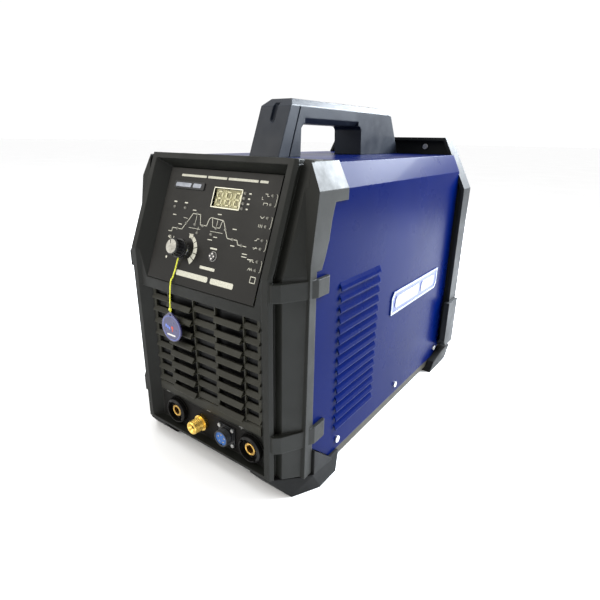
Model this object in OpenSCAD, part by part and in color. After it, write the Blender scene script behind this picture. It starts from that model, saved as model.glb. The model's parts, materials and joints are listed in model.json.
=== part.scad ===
// Inverter TIG welding machine: plastic front bezel and rear frame, folded steel
// cover with side louvres, carry handle, front sockets and the parts inside.
// X runs to the right seen from the front, Y runs to the rear, Z is up.

/* [Case] */
// Width across the painted cover
body_w = 240; // [236:1:250]
// Depth from the front rim to the rear frame's back face
body_d = 440; // [430:2:480]
// Width across the front rim
rim_w = 195; // [190:1:200]
// Width across the rear frame
rear_w = 262; // [256:1:270]
// Height of the cover's flat top above the floor
cover_top = 335; // [333:1:337]
// Height of the lower edge of the cover's side chamfer
chamfer_low = 312; // [305:1:315]
// Sheet thickness of the cover and tray
sheet = 1.2; // [1:0.1:2]

/* [Front] */
// Height of the underside of the front rim
rim_low = 25; // [22:1:28]
// Height of the bend where the front starts to lean back
knee_z = 240; // [236:1:244]
// Height of the top of the front rim
rim_top = 339; // [336:1:345]
// How far the top of the rim stands behind its foot
rim_lean = 40; // [36:1:42]
// Width of the rim's front face
rim_t = 7; // [5:0.5:8]
// Depth of the control panel behind the leaning rim plane
panel_depth = 15.6; // [14:0.2:17]
// Half width of the control panel
panel_hw = 78; // [74:1:80]

/* [Grille] */
// Rows of sloping blades in the front grille
grille_rows = 8; // [7:1:8]
// Height of the grille's lower edge
grille_low = 66; // [64:1:68]
// Height of the grille's upper edge
grille_high = 196; // [194:1:196]

/* [Louvres] */
// Louvres in each side of the cover
louvre_count = 15; // [10:1:15]
// Length of one louvre
louvre_len = 86; // [70:1:90]
// How far a louvre stands out of the sheet
louvre_out = 3; // [2:0.5:4]

/* [Handle] */
// Width of the carry handle
handle_w = 42; // [38:1:46]
// Height of the top of the handle
handle_top = 396; // [390:1:400]
// Height of the underside of the grip
grip_low = 371; // [366:1:372]

/* [Sockets] */
// Height of the socket row above the floor
socket_z = 46.5; // [46:0.1:46.8]
// Outer diameter of a power socket's shell
socket_d = 30; // [28:0.5:30]
// Bore of a power socket's brass insert
insert_bore = 9.2; // [9:0.1:9.5]

/* [Control] */
// Diameter of the knob's skirt
knob_d = 20; // [18:1:22]
// Travel of the menu button
button_travel = 0.8; // [0.5:0.1:1]
// Angle of the mains rocker either side of its middle
rocker_tilt = 9; // [6:1:10]

/* [Fan] */
// Fan frame size
fan_size = 120; // [120:1:125]
// Number of fan blades
fan_blades = 7; // [5:1:9]

/* [Hidden] */
$fn = 48;
eps = 0.01;
plate_y = 10;
// Shift that puts the middle of the depth on the Y axis
front_most = plate_y - 18;
rear_most = body_d + 23;
y_shift = -(front_most + rear_most) / 2;
half_w = body_w / 2;
rim_hw = rim_w / 2;
rear_hw = rear_w / 2;
tilt_a = atan(rim_lean / (rim_top - knee_z));
rim_len = (rim_top - knee_z) / cos(tilt_a);
// The bezel's lip laps over the cover by this much on every side
lip = 1.7;
lip_gap = 0.2;
wall = 3;
flare_y = 35;
lip_y = 40;
chamfer_hw = 108.5;
tray_low = 8;
cover_low = 20;
cover_front = 36.5;
cover_rear = body_d - 28;
groove = 7;
// Control panel span measured up the leaning plane from the knee
panel_v0 = -27;
panel_v1 = 96.5;
bar_z0 = 198;
bar_y = 3;
recess_y = 10;
recess_hw = 82;
// Panel features, measured across and up the leaning panel
display_at = [14, 68.5];
display_size = [39, 21];
knob_at = [-28, 10.5];
button_at = [13.5, 10];
badge_at = [-43, 77.5];
plate_t = 2;
// Front socket row
socket_x = [-51, 66.3];
gas_x = -10;
pin_x = 29.5;
// Tray, rear frame and handle
rear_rim_y = body_d - 30;
rear_shoulder = 288;
rear_top = 359;
rear_top_hw = 94;
rear_low = 26;
panel_y = body_d - 10;
handle_front = 110;
handle_rear = 405;
grip_front = 150;
grip_rear = 283;
handle_bolt_y = [handle_front + 31, grip_rear + 30, handle_rear - 40];
cover_screw_y = [92, 245, 393];
fan_at = [0, 178];
switch_at = [-78, 290];
gland_at = [72, 70];
inlet_at = [-72, 70];
earth_at = [-20, 62];
// Route of the tag's string from the knob's neck down to the tag
tag_route = [[-26.4, 10.8, 242], [-23.8, 11.7, 244.2], [-23.7, 13, 247.4],
    [-26.1, 14, 249.8], [-29.6, 14.1, 250], [-32.2, 13.2, 247.8],
    [-32.3, 11.9, 244.5], [-29.9, 10.9, 242.1], [-30.9, 10, 238.3],
    [-31.9, 9.1, 234.2], [-32.8, 8, 229.7], [-33.7, 6.8, 225.1],
    [-34.5, 5.3, 220.6], [-35.3, 3.6, 216.1], [-35.8, 2, 214.2],
    [-36.2, 0.6, 208.4], [-36.5, 0.1, 203.4], [-36.8, -0.4, 197.6],
    [-37, -0.9, 191.6], [-37.1, -1.3, 185.6], [-37.2, -1.5, 177.5]];
string_d = 1.6;
tag_at = [-37.2, -1.5, 160];

// Moves a piece from the rim plane's own depth scale to the part's frame
module placed() {
    translate([0, y_shift, 0]) children();
}

// Extrudes a shape drawn as [x, z] from depth y0 to y1
module along_y(y0, y1) {
    translate([0, y1, 0]) rotate([90, 0, 0]) linear_extrude(y1 - y0) children();
}

// Extrudes a shape drawn as [y, z] from x0 to x1
module along_x(x0, x1) {
    translate([x0, 0, 0]) rotate([90, 0, 90]) linear_extrude(x1 - x0) children();
}

// A frame on the leaning front: X across, Y up the slope, Z out of the front
module on_tilt(depth = 0) {
    translate([0, 0, knee_z]) rotate([90 - tilt_a, 0, 0]) translate([0, 0, -depth]) children();
}

module both_sides() {
    children();
    mirror([1, 0, 0]) children();
}

// A cylinder along Y starting at [x, y, z]
module rod_y(at, d, len) {
    translate(at) rotate([-90, 0, 0]) cylinder(d = d, h = len);
}

module box(lo, hi) {
    translate(lo) cube(hi - lo);
}

module rounded_rect(w, h, r) {
    hull()
        for (sx = [-1, 1], sy = [-1, 1])
            translate([sx * (w / 2 - r), sy * (h / 2 - r)]) circle(r);
}

// Right half of the case section as [x, z] points, grown by off
function half_section(off, low) = [[half_w + off, low], [half_w + off, chamfer_low + off / 2],
    [chamfer_hw + off / 2, cover_top + off]];

// The whole section, closed across the bottom
module case_section(off, low) {
    right = half_section(off, low);
    left = [for (i = [2:-1:0]) [-right[i][0], right[i][1]]];
    polygon(concat(right, left));
}

// Side outline of the bezel's lip as [y, z] points: it steps back above the knee
lip_profile = [[flare_y - 8, cover_low + 2], [lip_y, cover_low + 2], [lip_y, knee_z + 3],
    [48, knee_z + 3], [52, 251], [58.7, 268], [62.5, 286], [66, 297], [68, 302], [90, 302],
    [90, cover_top + 6], [46, cover_top + 6], [30, 250]];

// Lower and upper blocks of the bezel: both run from the rim back to the lip
module bezel_lower(inset) {
    hw = rim_hw - inset;
    back = half_w + lip - inset;
    hull() {
        box([-hw, inset, rim_low + inset], [hw, inset + eps, knee_z]);
        box([-back, flare_y, cover_low + 2 + inset], [back, flare_y + 3, knee_z]);
    }
}

module bezel_upper(inset) {
    hw = rim_hw - inset;
    back = half_w + lip - inset;
    hull() {
        box([-hw, inset, knee_z - eps], [hw, inset + eps, knee_z]);
        box([1.5 - hw, rim_lean + inset, rim_top - inset - eps],
            [hw - 1.5, rim_lean + inset + 2, rim_top - inset]);
        box([-back, flare_y, knee_z - eps], [back, flare_y + 3, knee_z]);
        along_y(58, 62)
            polygon([[back, chamfer_low - 2], [back, chamfer_low + lip / 2],
                [chamfer_hw + lip / 2, cover_top + lip - inset],
                [-chamfer_hw - lip / 2, cover_top + lip - inset],
                [-back, chamfer_low + lip / 2], [-back, chamfer_low - 2]]);
    }
}

// Cut for the leaning control panel: opens at the rim and narrows to the plate
module panel_recess() {
    open_hw = rim_hw - rim_t;
    hull() {
        on_tilt(-2)
            translate([-open_hw - 1, panel_v0 - 2, 0])
                cube([2 * open_hw + 2, rim_len - rim_t - panel_v0 + 4, eps]);
        on_tilt(panel_depth)
            translate([-panel_hw, panel_v0, 0]) cube([2 * panel_hw, panel_v1 - panel_v0, eps]);
    }
}

// Cut for the grille and the socket row below the bar
module lower_recess() {
    open_hw = rim_hw - rim_t;
    hull() {
        box([-open_hw - 1, -1, rim_low + 2.5], [open_hw + 1, -1 + eps, bar_z0]);
        box([-recess_hw, recess_y - eps, rim_low + 3.5], [recess_hw, recess_y, bar_z0 - 1]);
    }
    hull() {
        box([-open_hw - 1, -1, bar_z0 - 4], [open_hw + 1, -1 + eps, knee_z + 2]);
        box([-open_hw + 3, bar_y - eps, bar_z0 - 4], [open_hw - 3, bar_y, knee_z + 2]);
    }
}

// Groove that parts the rim from the flaring side, from the floor edge to the top
module rim_groove() {
    both_sides() {
        hull() {
            box([rim_hw - 1, 4, rim_low - 1], [rim_hw + 12, 4 + groove, rim_low]);
            box([rim_hw - 1, 4, knee_z], [rim_hw + 12, 4 + groove, knee_z + 1]);
        }
        hull() {
            box([rim_hw - 1, 4, knee_z], [rim_hw + 12, 4 + groove, knee_z + 1]);
            box([rim_hw - 1, rim_lean + 4, rim_top], [rim_hw + 12, rim_lean + 4 + groove, rim_top + 1]);
        }
        box([rim_hw - 2, rim_lean + 3, cover_top - 1.5], [rim_hw + 1, 84, rim_top + 2]);
    }
}

// One raised strap that wraps the side and ends in a tab over the cover
module strap(z0, z1) {
    out = 4.5;
    both_sides()
        translate([0, 0, z0]) linear_extrude(z1 - z0)
            polygon([[rim_hw - 3, 1.5], [rim_hw + 4, 0.5], [rim_hw + 10, 6],
                [half_w - 1, flare_y - 8], [half_w + out, flare_y + 5], [half_w + out, 57],
                [half_w + out - 1.5, 60], [half_w + lip_gap, 60], [half_w + lip_gap, flare_y],
                [half_w - 6, flare_y - 5], [rim_hw + 2, 8]]);
}

module front_bezel() {
    color([0.2, 0.21, 0.19]) placed() {
        difference() {
            union() {
                bezel_lower(0);
                bezel_upper(0);
                intersection() {
                    along_y(flare_y - 8, 90) case_section(lip, cover_low + 2);
                    along_x(-half_w - 5, half_w + 5) polygon(lip_profile);
                }
            }
            // Space for the cover's edge inside the lip, and the hollow behind the front
            intersection() {
                along_y(cover_front - 0.5, 120) case_section(lip_gap, cover_low - 1);
                along_x(-150, 150) polygon([[cover_front - 0.5, 0], [cover_front - 0.5, knee_z + 4],
                    [cover_front + 23.5, chamfer_low], [cover_front + 23.5, 400], [130, 400], [130, 0]]);
            }
            difference() {
                union() {
                    bezel_lower(wall);
                    bezel_upper(wall);
                }
                on_tilt(panel_depth + wall) translate([-150, -200, 0]) cube([300, 400, 60]);
                box([-150, -1, 0], [150, recess_y + wall, 230]);
            }
            panel_recess();
            lower_recess();
            rim_groove();
            // Openings for the control plate's parts, the grille and the socket plate
            on_tilt(panel_depth + wall + 2)
                translate([-panel_hw + 5, panel_v0 + 6, 0])
                    cube([2 * panel_hw - 10, panel_v1 - panel_v0 - 11, wall + 4]);
            box([-recess_hw + 2, 0, grille_low], [recess_hw - 2, recess_y + wall + 1, grille_high]);
            box([-recess_hw + 2, 0, rim_low + 4], [recess_hw - 2, recess_y + wall + 1, grille_low - 3]);
        }
        strap(60, 79);
        strap(219, 236);
    }
}

// Foot block of a front corner, sloping down and back from the rim to the floor
module front_boot() {
    hull() {
        box([70, 1, rim_low - 3], [rim_hw - 1, 4, rim_low - 0.7]);
        box([70, 18, 0], [rim_hw + 15, 22, 3]);
        box([70, 48, 0], [half_w + 8, 80, 3]);
        box([70, 86, cover_low - 4], [half_w + 3, 92, cover_low - 0.5]);
        box([70, flare_y + 4, cover_low - 2], [half_w + 4.5, flare_y + 8, cover_low - 0.5]);
    }
}

module front_boots() {
    color([0.1, 0.1, 0.1]) placed() both_sides() difference() {
        union() {
            front_boot();
            // Cheek that fills the cover's cut corner
            along_x(half_w - 1, half_w + 4.5)
                polygon([[lip_y + 1.2, 10], [lip_y + 1.2, 49.6], [75.2, 19.5], [80, 10]]);
        }
        // Seat for the tray's corner, and room under the bezel and the cover
        box([60, lip_y + 1, tray_low - 0.2], [half_w - 1, 100, 60]);
        along_x(60, half_w + 20)
            polygon([[4, rim_low - 0.6], [flare_y - 8.5, cover_low + 1.7], [lip_y + 1, cover_low + 1.7],
                [lip_y + 1, 51], [75.6, cover_low - 0.3], [130, cover_low - 0.3], [130, 60], [4, 60]]);
    }
}

// The grille's columns: their edges across, and how deep and how high each one's blades start
columns = [-80, -53, -13, 20, 59, 79.5];
column_y = [7.6, 2.6, 7.6, 2.6, 7.6];
column_z = [0, -2, 0, -2, 0];
row_low = grille_low + 14.2;
row_pitch = 14.7;

module front_grille() {
    color([0.24, 0.25, 0.22]) placed() {
        difference() {
            box([-recess_hw + 2.2, recess_y, grille_low + 0.2],
                [recess_hw - 2.2, recess_y + 5, grille_high - 0.2]);
            box([-recess_hw + 6, 0, grille_low + 11], [recess_hw - 6, 20, grille_high - 1.5]);
        }
        // Plain band under the lowest blades
        along_x(-recess_hw + 2.2, recess_hw - 2.2)
            polygon([[9, grille_low + 0.2], [8.2, grille_low + 1], [8.2, grille_low + 9.8],
                [9.6, grille_low + 11.4], [recess_y + 4, grille_low + 11.4],
                [recess_y + 4, grille_low + 0.2]]);
        difference() {
            for (c = [0:4], r = [0:grille_rows - 1])
                along_x(columns[c] + 0.2, columns[c + 1] + 0.2)
                    blade(column_y[c], row_low + column_z[c] + r * row_pitch);
            // The forward columns slope back at their left ends
            for (c = [1, 3])
                translate([columns[c], 0, grille_low - 5]) linear_extrude(grille_high - grille_low + 5)
                    polygon([[-1, 0], [6, 0], [0.3, 7.6], [-1, 7.6]]);
        }
        for (c = [1:4])
            box([columns[c] - 0.8, recess_y - 1, grille_low + 1],
                [columns[c] + 0.8, recess_y + 4.8, grille_high - 1]);
    }
}

// Side outline of one blade: a sloping face, a web to the rear and a baffle that rises behind it
module blade(y, z) {
    polygon([[y, z], [y, z + 1.3], [y + 3.4, z + 5.4], [y + 4.6, z + 5.4], [y + 2, z + 1.5],
        [recess_y + 3.4, z + 1.5], [recess_y + 3.4, z + 11.4], [recess_y + 4.6, z + 11.4],
        [recess_y + 4.6, z]]);
}

module connector_plate() {
    color([0.22, 0.21, 0.19]) placed() difference() {
        box([-recess_hw + 2.2, plate_y, rim_low + 4.2], [recess_hw - 2.2, plate_y + 2.5, grille_low - 3.2]);
        for (x = socket_x) rod_y([x, plate_y - 1, socket_z], 20.4, 6);
        rod_y([gas_x, plate_y - 1, socket_z], 12.3, 6);
        rod_y([pin_x, plate_y - 1, socket_z], 19.4, 6);
        for (sx = [-1, 1], sz = [-1, 1])
            rod_y([pin_x + sx * 9.6, plate_y - 1, socket_z + sz * 9.6], 2.6, 6);
    }
}

module control_plate() {
    color([0.3, 0.3, 0.28]) placed() on_tilt(panel_depth) difference() {
        translate([-panel_hw + 0.6, panel_v0 + 1.2, 0])
            cube([2 * panel_hw - 1.2, panel_v1 - panel_v0 - 2.2, plate_t]);
        translate([display_at[0] - display_size[0] / 2, display_at[1] - display_size[1] / 2, -1])
            cube([display_size[0], display_size[1], 5]);
        translate([knob_at[0], knob_at[1], -1]) cylinder(d = 9.4, h = 5);
        translate([button_at[0], button_at[1], -1]) cylinder(d = 8.8, h = 5);
        for (p = lamp_points) translate([p[0], p[1], -1]) cylinder(d = 3.2, h = 5);
    }
}

// Indicator lamps: a column by the display, one at the right, a pair and a zigzag at the left
right_lamps = [6, 14, 26, 34, 47, 55, 67.5, 76];
curve_lamps = [[-47, 31], [-35, 38], [-22, 49], [-22, 38], [-16, 30], [-10, 38], [4, 31], [9, 38],
    [22, 38], [34, 30], [47, 26]];
lamp_points = concat([for (r = [0:3]) [36.4, 75.5 - 5 * r]], [for (v = right_lamps) [70.5, v]],
    [[-59, 53.5], [-42, 53.5]], curve_lamps);

module panel_lamps() {
    color([0.75, 0.72, 0.6]) placed() on_tilt(panel_depth)
        for (p = lamp_points) translate([p[0], p[1], -1.5]) {
            cylinder(d = 3, h = 3.6);
            translate([0, 0, 3.6]) sphere(d = 2.9);
            translate([0, 0, -2.9]) cylinder(d = 3.8, h = 2.9);
        }
}

module display_window() {
    color([0.45, 0.42, 0.32]) placed() on_tilt(panel_depth)
        translate([display_at[0] - display_size[0] / 2 + 0.2,
            display_at[1] - display_size[1] / 2 + 0.2, 0.2])
            cube([display_size[0] - 0.4, display_size[1] - 0.4, 2.2]);
}

// Three seven-segment digits standing on their carrier behind the window
module display_module() {
    color([0.75, 0.73, 0.6]) placed() on_tilt(panel_depth)
        translate([display_at[0], display_at[1], 0]) {
            translate([-18.8, -9.6, -7.8]) cube([37.6, 19.2, 7]);
            for (d = [-1:1]) translate([d * 12.2, 0, -0.85]) digit();
        }
}

// Figure-eight of seven bars, 0.9 thick
module digit() {
    w = 6.5;
    h = 12.5;
    t = 1.3;
    for (k = [-1:1]) translate([-w / 2 + t, k * h / 2 - t / 2, 0]) cube([w - 2 * t, t, 0.9]);
    for (sx = [-1, 1], k = [-1, 1])
        translate([sx * w / 2 - t / 2, k * h / 4 - h / 4 + t, 0]) cube([t, h / 2 - 2 * t, 0.9]);
}

module panel_badge() {
    color([0.6, 0.6, 0.62]) placed() on_tilt(panel_depth - plate_t)
        translate([badge_at[0], badge_at[1], 0]) linear_extrude(1.2) rounded_rect(46, 8, 1.5);
}

module control_board() {
    color([0.1, 0.3, 0.15]) placed() on_tilt(panel_depth + 12.5) difference() {
        translate([-70, panel_v0 + 9, 0]) cube([140, panel_v1 - panel_v0 - 17, 1.6]);
        translate([knob_at[0], knob_at[1], -1]) cylinder(d = 7.4, h = 4);
    }
    color([0.1, 0.1, 0.1]) placed() on_tilt(panel_depth + 12.5) {
        for (sx = [-1, 1], v = [panel_v0 + 13, panel_v1 - 12])
            translate([sx * 66, v, 1.6]) cylinder(d = 5, h = 10.8);
        translate([-60, 25, 1.6]) cube([30, 12, 2.5]);
        translate([20, 20, -9]) cube([34, 9, 9]);
    }
}

module encoder_body() {
    color([0.55, 0.55, 0.55]) placed() on_tilt(panel_depth) translate([knob_at[0], knob_at[1], 0])
        difference() {
            union() {
                translate([-8, -8, -10.7]) cube([16, 16, 10.6]);
                translate([0, 0, -1]) cylinder(d = 9, h = 6);
                translate([0, 0, plate_t]) cylinder(d = 12.5, h = 2, $fn = 6);
                translate([0, 0, -14]) cylinder(d = 7, h = 4);
            }
            translate([0, 0, -4]) cylinder(d = 6.1, h = 20);
        }
}

module knob() {
    color([0.12, 0.12, 0.12]) placed() on_tilt(panel_depth) translate([knob_at[0], knob_at[1], 0]) {
        translate([0, 0, -3.5]) cylinder(d = 6, h = 15);
        difference() {
            union() {
                translate([0, 0, 8]) cylinder(d = knob_d, h = 3);
                translate([0, 0, 11]) cylinder(d = 16, h = 8.5);
                for (a = [0:20:340]) rotate(a) translate([8, 0, 11]) cylinder(d = 1.4, h = 8);
            }
            rotate(25) translate([-0.6, 4, 18.8]) cube([1.2, 5, 2]);
        }
    }
}

module knob_cap() {
    color([0.8, 0.8, 0.8]) placed() on_tilt(panel_depth) translate([knob_at[0], knob_at[1], 19.5])
        difference() {
            cylinder(d = 14.5, h = 1.2);
            rotate(25) translate([-0.5, 3.6, 0.6]) cube([1, 4, 2]);
        }
}

module menu_button() {
    color([0.7, 0.7, 0.68]) placed() on_tilt(panel_depth) translate([button_at[0], button_at[1], 0]) {
        translate([0, 0, -button_travel - 2]) cylinder(d = 8.6, h = button_travel + 5.8);
        translate([0, 0, -9.8]) cylinder(d = 3.4, h = 8);
    }
}

// Shell of a twist-lock power socket: flange in front, threaded barrel behind
module socket_shell(x) {
    color([0.12, 0.11, 0.1]) placed() translate([x, 0, socket_z]) difference() {
        union() {
            rod_y([0, plate_y - 6, 0], socket_d, 6);
            rod_y([0, plate_y - eps, 0], 20, 22);
            rotate([-90, 0, 0]) translate([0, 0, plate_y - 7.5])
                cylinder(d1 = socket_d - 4, d2 = socket_d, h = 1.5);
        }
        rod_y([0, -10, 0], 14.2, 50);
        rod_y([0, -10, 0], 24.6, plate_y + 9);
        for (a = [45, 225]) rotate([0, a, 0]) box([10, plate_y - 8, -2], [13.4, plate_y - 3, 2]);
    }
}

module socket_insert(x) {
    color([0.75, 0.58, 0.25]) placed() translate([x, 0, socket_z]) difference() {
        union() {
            rod_y([0, plate_y - 4.5, 0], 14.1, 29);
            rod_y([0, plate_y + 24, 0], 12, 18);
        }
        rod_y([0, plate_y - 5, 0], insert_bore, 25);
        box([-1.5, plate_y - 5, insert_bore / 2 - 1], [1.5, plate_y + 8, insert_bore / 2 + 1]);
    }
}

module socket_nuts() {
    color([0.7, 0.55, 0.25]) placed() for (x = socket_x) translate([x, 0, socket_z]) difference() {
        union() {
            translate([0, plate_y + 2.6, 0]) rotate([-90, 0, 0]) cylinder(d = 27, h = 5, $fn = 6);
            translate([0, plate_y + 31, 0]) rotate([-90, 0, 0]) cylinder(d = 19, h = 5, $fn = 6);
        }
        rod_y([0, plate_y, 0], 20.1, 20);
        rod_y([0, plate_y + 20, 0], 12.1, 30);
    }
}

module gas_outlet() {
    color([0.85, 0.66, 0.28]) placed() translate([gas_x, 0, socket_z]) difference() {
        union() {
            rod_y([0, plate_y - 0.2, 0], 12, 22);
            rod_y([0, plate_y - 4.6, 0], 19, 4.4);
            rod_y([0, plate_y - 17.2, 0], 15, 12.7);
            translate([0, plate_y - 18, 0]) rotate([-90, 0, 0]) cylinder(d1 = 13.4, d2 = 15, h = 0.81);
            rod_y([0, plate_y + 21, 0], 7, 9);
        }
        rod_y([0, plate_y - 20, 0], 5, 60);
        translate([0, plate_y - 18.01, 0]) rotate([-90, 0, 0]) cylinder(d1 = 11, d2 = 5, h = 3);
    }
}

module gas_outlet_nut() {
    color([0.8, 0.62, 0.28]) placed() translate([gas_x, plate_y + 2.6, socket_z]) difference() {
        rotate([-90, 0, 0]) cylinder(d = 19, h = 4, $fn = 6);
        rod_y([0, -1, 0], 12.1, 8);
    }
}

module control_socket() {
    color([0.5, 0.52, 0.55]) placed() translate([pin_x, 0, socket_z]) difference() {
        union() {
            translate([-12.2, plate_y - 2, -12.2]) cube([24.4, 2, 24.4]);
            rod_y([0, plate_y - 11, 0], 19, 32);
        }
        rod_y([0, plate_y - 12, 0], 16, 40);
        for (sx = [-1, 1], sz = [-1, 1]) rod_y([sx * 9.6, plate_y - 4, sz * 9.6], 2.9, 6);
    }
}

// Angles of the five pins round the socket's axis
pin_angles = [for (k = [0:4]) 90 + 72 * k];

module control_socket_insert() {
    color([0.25, 0.55, 0.8]) placed() translate([pin_x, 0, socket_z]) difference() {
        rod_y([0, plate_y - 10.4, 0], 15.9, 14);
        for (a = pin_angles)
            rod_y([4.6 * cos(a), plate_y - 11, 4.6 * sin(a)], 1.9, 16);
        box([-1.2, plate_y - 11, -8.2], [1.2, plate_y - 8, -6.2]);
    }
}

module control_socket_pins() {
    color([0.85, 0.75, 0.5]) placed() translate([pin_x, 0, socket_z])
        for (a = pin_angles) rod_y([4.6 * cos(a), plate_y - 10.2, 4.6 * sin(a)], 1.8, 24);
}

module control_socket_screws() {
    color([0.75, 0.75, 0.75]) placed() translate([pin_x, 0, socket_z])
        for (sx = [-1, 1], sz = [-1, 1]) translate([sx * 9.6, plate_y, sz * 9.6]) difference() {
            union() {
                rod_y([0, -3.6, 0], 4.4, 1.5);
                rod_y([0, -2.2, 0], 2.4, 7);
            }
            box([-0.4, -4, -1.7], [0.4, -3, 1.7]);
            box([-1.7, -4, -0.4], [1.7, -3, 0.4]);
        }
}

// Outline of the cover's sheet as a closed band of even thickness
module cover_band() {
    outer = half_section(0, cover_low);
    inner = [for (p = [[half_w - sheet, cover_low], [half_w - sheet, chamfer_low - sheet / 2],
        [chamfer_hw - sheet / 2, cover_top - sheet]]) p];
    polygon(concat(outer, [for (i = [2:-1:0]) [-outer[i][0], outer[i][1]]],
        [for (p = inner) [-p[0], p[1]]], [for (i = [2:-1:0]) inner[i]]));
}

louvre_z = [for (k = [0:louvre_count - 1]) 49.2 + k * 11.7];
louvre_y = 84;

// One louvre: a scoop that leaves the sheet at its top and opens downwards
module louvre(z) {
    translate([half_w - sheet, 0, 0]) rotate([90, 0, 0]) translate([0, z, -louvre_y - louvre_len])
        linear_extrude(louvre_len)
            polygon([[0.2, 8.4], [sheet, 8.4], [sheet + louvre_out * 0.7, 4.6], [sheet + louvre_out, 1.4],
                [sheet + louvre_out, 0], [sheet + louvre_out - 1, 0],
                [sheet + louvre_out * 0.45, 4], [0.2, 6.2]]);
}

module cover() {
    color([0.02, 0.1, 0.42]) placed() {
        difference() {
            along_y(cover_front, cover_rear) cover_band();
            // The front edge leans with the bezel and its lower corner is cut away
            along_x(-200, 200) polygon([[0, knee_z + 4], [cover_front, knee_z + 4],
                [cover_front + 24, chamfer_low], [cover_front + 24, cover_top + 10], [0, cover_top + 10]]);
            along_x(-200, 200) polygon([[30, 0], [76, 0], [76, cover_low], [40, 52], [30, 52]]);
            along_x(-200, 200) polygon([[cover_rear + 1, 0], [cover_rear - 12, 0],
                [cover_rear - 12, cover_low], [cover_rear + 1, cover_low + 14]]);
            both_sides() for (z = louvre_z)
                box([half_w - 3, louvre_y + 3, z + 0.8], [half_w + 1, louvre_y + louvre_len - 3, z + 5.4]);
            both_sides() for (y = cover_screw_y)
                translate([half_w - 4, y, 33]) rotate([0, 90, 0]) cylinder(d = 4.4, h = 8);
            for (x = [-8, 8], y = handle_bolt_y) translate([x, y, cover_top - 5]) cylinder(d = 5, h = 8);
        }
        both_sides() for (z = louvre_z) louvre(z);
        // Return flanges that the handle bolts through
        box([-60, 84, cover_top - 12], [60, 86, cover_top - sheet]);
    }
}

// Slanted name plate with rounded corners, blank apart from its raised rim
module side_badge() {
    color([0.75, 0.76, 0.8]) placed() translate([half_w + 0.05, 286, 162]) rotate([90, 0, 90]) difference() {
        linear_extrude(1.6) badge_outline(77, 15);
        translate([0, 0, 1]) linear_extrude(2) badge_outline(74, 12.4);
    }
}

module badge_outline(hl, hh) {
    polygon([[-hl, -hh], [hl - 6, -hh], [hl, -hh + 7], [hl, hh], [-hl + 6, hh], [-hl, hh - 7]]);
}

module side_badge_right() {
    side_badge();
}

module side_badge_left() {
    mirror([1, 0, 0]) side_badge();
}

module cover_screws() {
    color([0.8, 0.8, 0.8]) placed() both_sides() for (y = cover_screw_y) translate([half_w, y, 33])
        rotate([0, 90, 0]) difference() {
            union() {
                translate([0, 0, 0.02]) cylinder(d = 8, h = 2);
                translate([0, 0, -6]) cylinder(d = 4, h = 6.1);
            }
            translate([-2.8, -0.5, 1]) cube([5.6, 1, 2]);
            translate([-0.5, -2.8, 1]) cube([1, 5.6, 2]);
        }
}

module base_tray() {
    inner = half_w - sheet - 0.3;
    color([0.35, 0.35, 0.33]) placed() difference() {
        box([-inner, 42, tray_low], [inner, panel_y - 0.2, 44]);
        box([-inner + sheet, 41, tray_low + sheet], [inner - sheet, panel_y + 1, 45]);
        along_x(-200, 200) polygon([[30, 18], [44, 18], [70, 44], [70, 60], [30, 60]]);
        both_sides() for (y = cover_screw_y)
            translate([inner - 3, y, 33]) rotate([0, 90, 0]) cylinder(d = 4.2, h = 6);
        for (y = [130:16:210], x = [-60:24:60])
            translate([x, y, tray_low - 1]) cylinder(d = 9, h = 5);
    }
}

// Rear frame outline as [x, z], grown inwards by t
module rear_outline(t) {
    s = t * 0.55;
    polygon([[rear_hw - t, rear_low + 16 + t], [rear_hw - t, rear_shoulder - s],
        [rear_top_hw - s, rear_top - t],
        [-rear_top_hw + s, rear_top - t], [-rear_hw + t, rear_shoulder - s],
        [-rear_hw + t, rear_low + 16 + t],
        [-rear_hw + 16 + t, rear_low + t], [rear_hw - 16 - t, rear_low + t]]);
}

// Opening of the rear frame, shrunk by t
module rear_opening(t) {
    intersection() {
        rear_outline(8 + t);
        case_section(-5 - t, rear_low + 10 + t);
    }
}

module rear_frame() {
    color([0.24, 0.25, 0.24]) placed() {
        difference() {
            union() {
                along_y(rear_rim_y, body_d) rear_outline(0);
                // Clip that grips the cover's lower corner on each side
                both_sides() box([half_w + 2, body_d - 40, 35], [rear_hw + 4, body_d - 1, 111]);
            }
            along_y(rear_rim_y - 30, rear_rim_y + 12) rear_outline(4.5);
            along_y(rear_rim_y - 30, panel_y + 2.1) rear_opening(0);
            along_y(panel_y + 2, body_d + 1) rear_opening(5);
            // Way through for the end of the tray
            box([1 - half_w, rear_rim_y - 30, 0], [half_w - 1, panel_y, 44.4]);
            along_y(rear_rim_y - 30, cover_rear + 0.3) case_section(0.3, 0);
            both_sides() along_x(half_w - 20, rear_hw + 10)
                polygon([[body_d - 60, 20], [body_d - 20, 20], [body_d - 41, 46], [body_d - 60, 46]]);
            for (x = [-60, 60]) rod_y([x, rear_rim_y, 346], 4, 40);
            for (k = [0:3], sx = [-1, 1])
                rod_y([sx * (rear_hw - 6), body_d - 8, 70 + 60 * k], 3.2, 12);
        }
    }
}

module rear_boots() {
    color([0.1, 0.1, 0.1]) placed() both_sides() difference() {
        hull() {
            box([72, body_d - 72, 0], [rear_hw - 3, body_d - 4, 3]);
            box([72, body_d - 66, tray_low + 6], [rear_hw - 1, body_d - 30, tray_low + 9]);
            box([72, body_d - 34, rear_low - 4], [rear_hw, body_d, rear_low - 0.3]);
        }
        box([60, body_d - 100, tray_low - 0.2], [half_w - 1, panel_y, 40]);
        along_y(body_d - 100, cover_rear + 0.3) case_section(0.3, cover_low - 0.3);
    }
}

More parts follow.
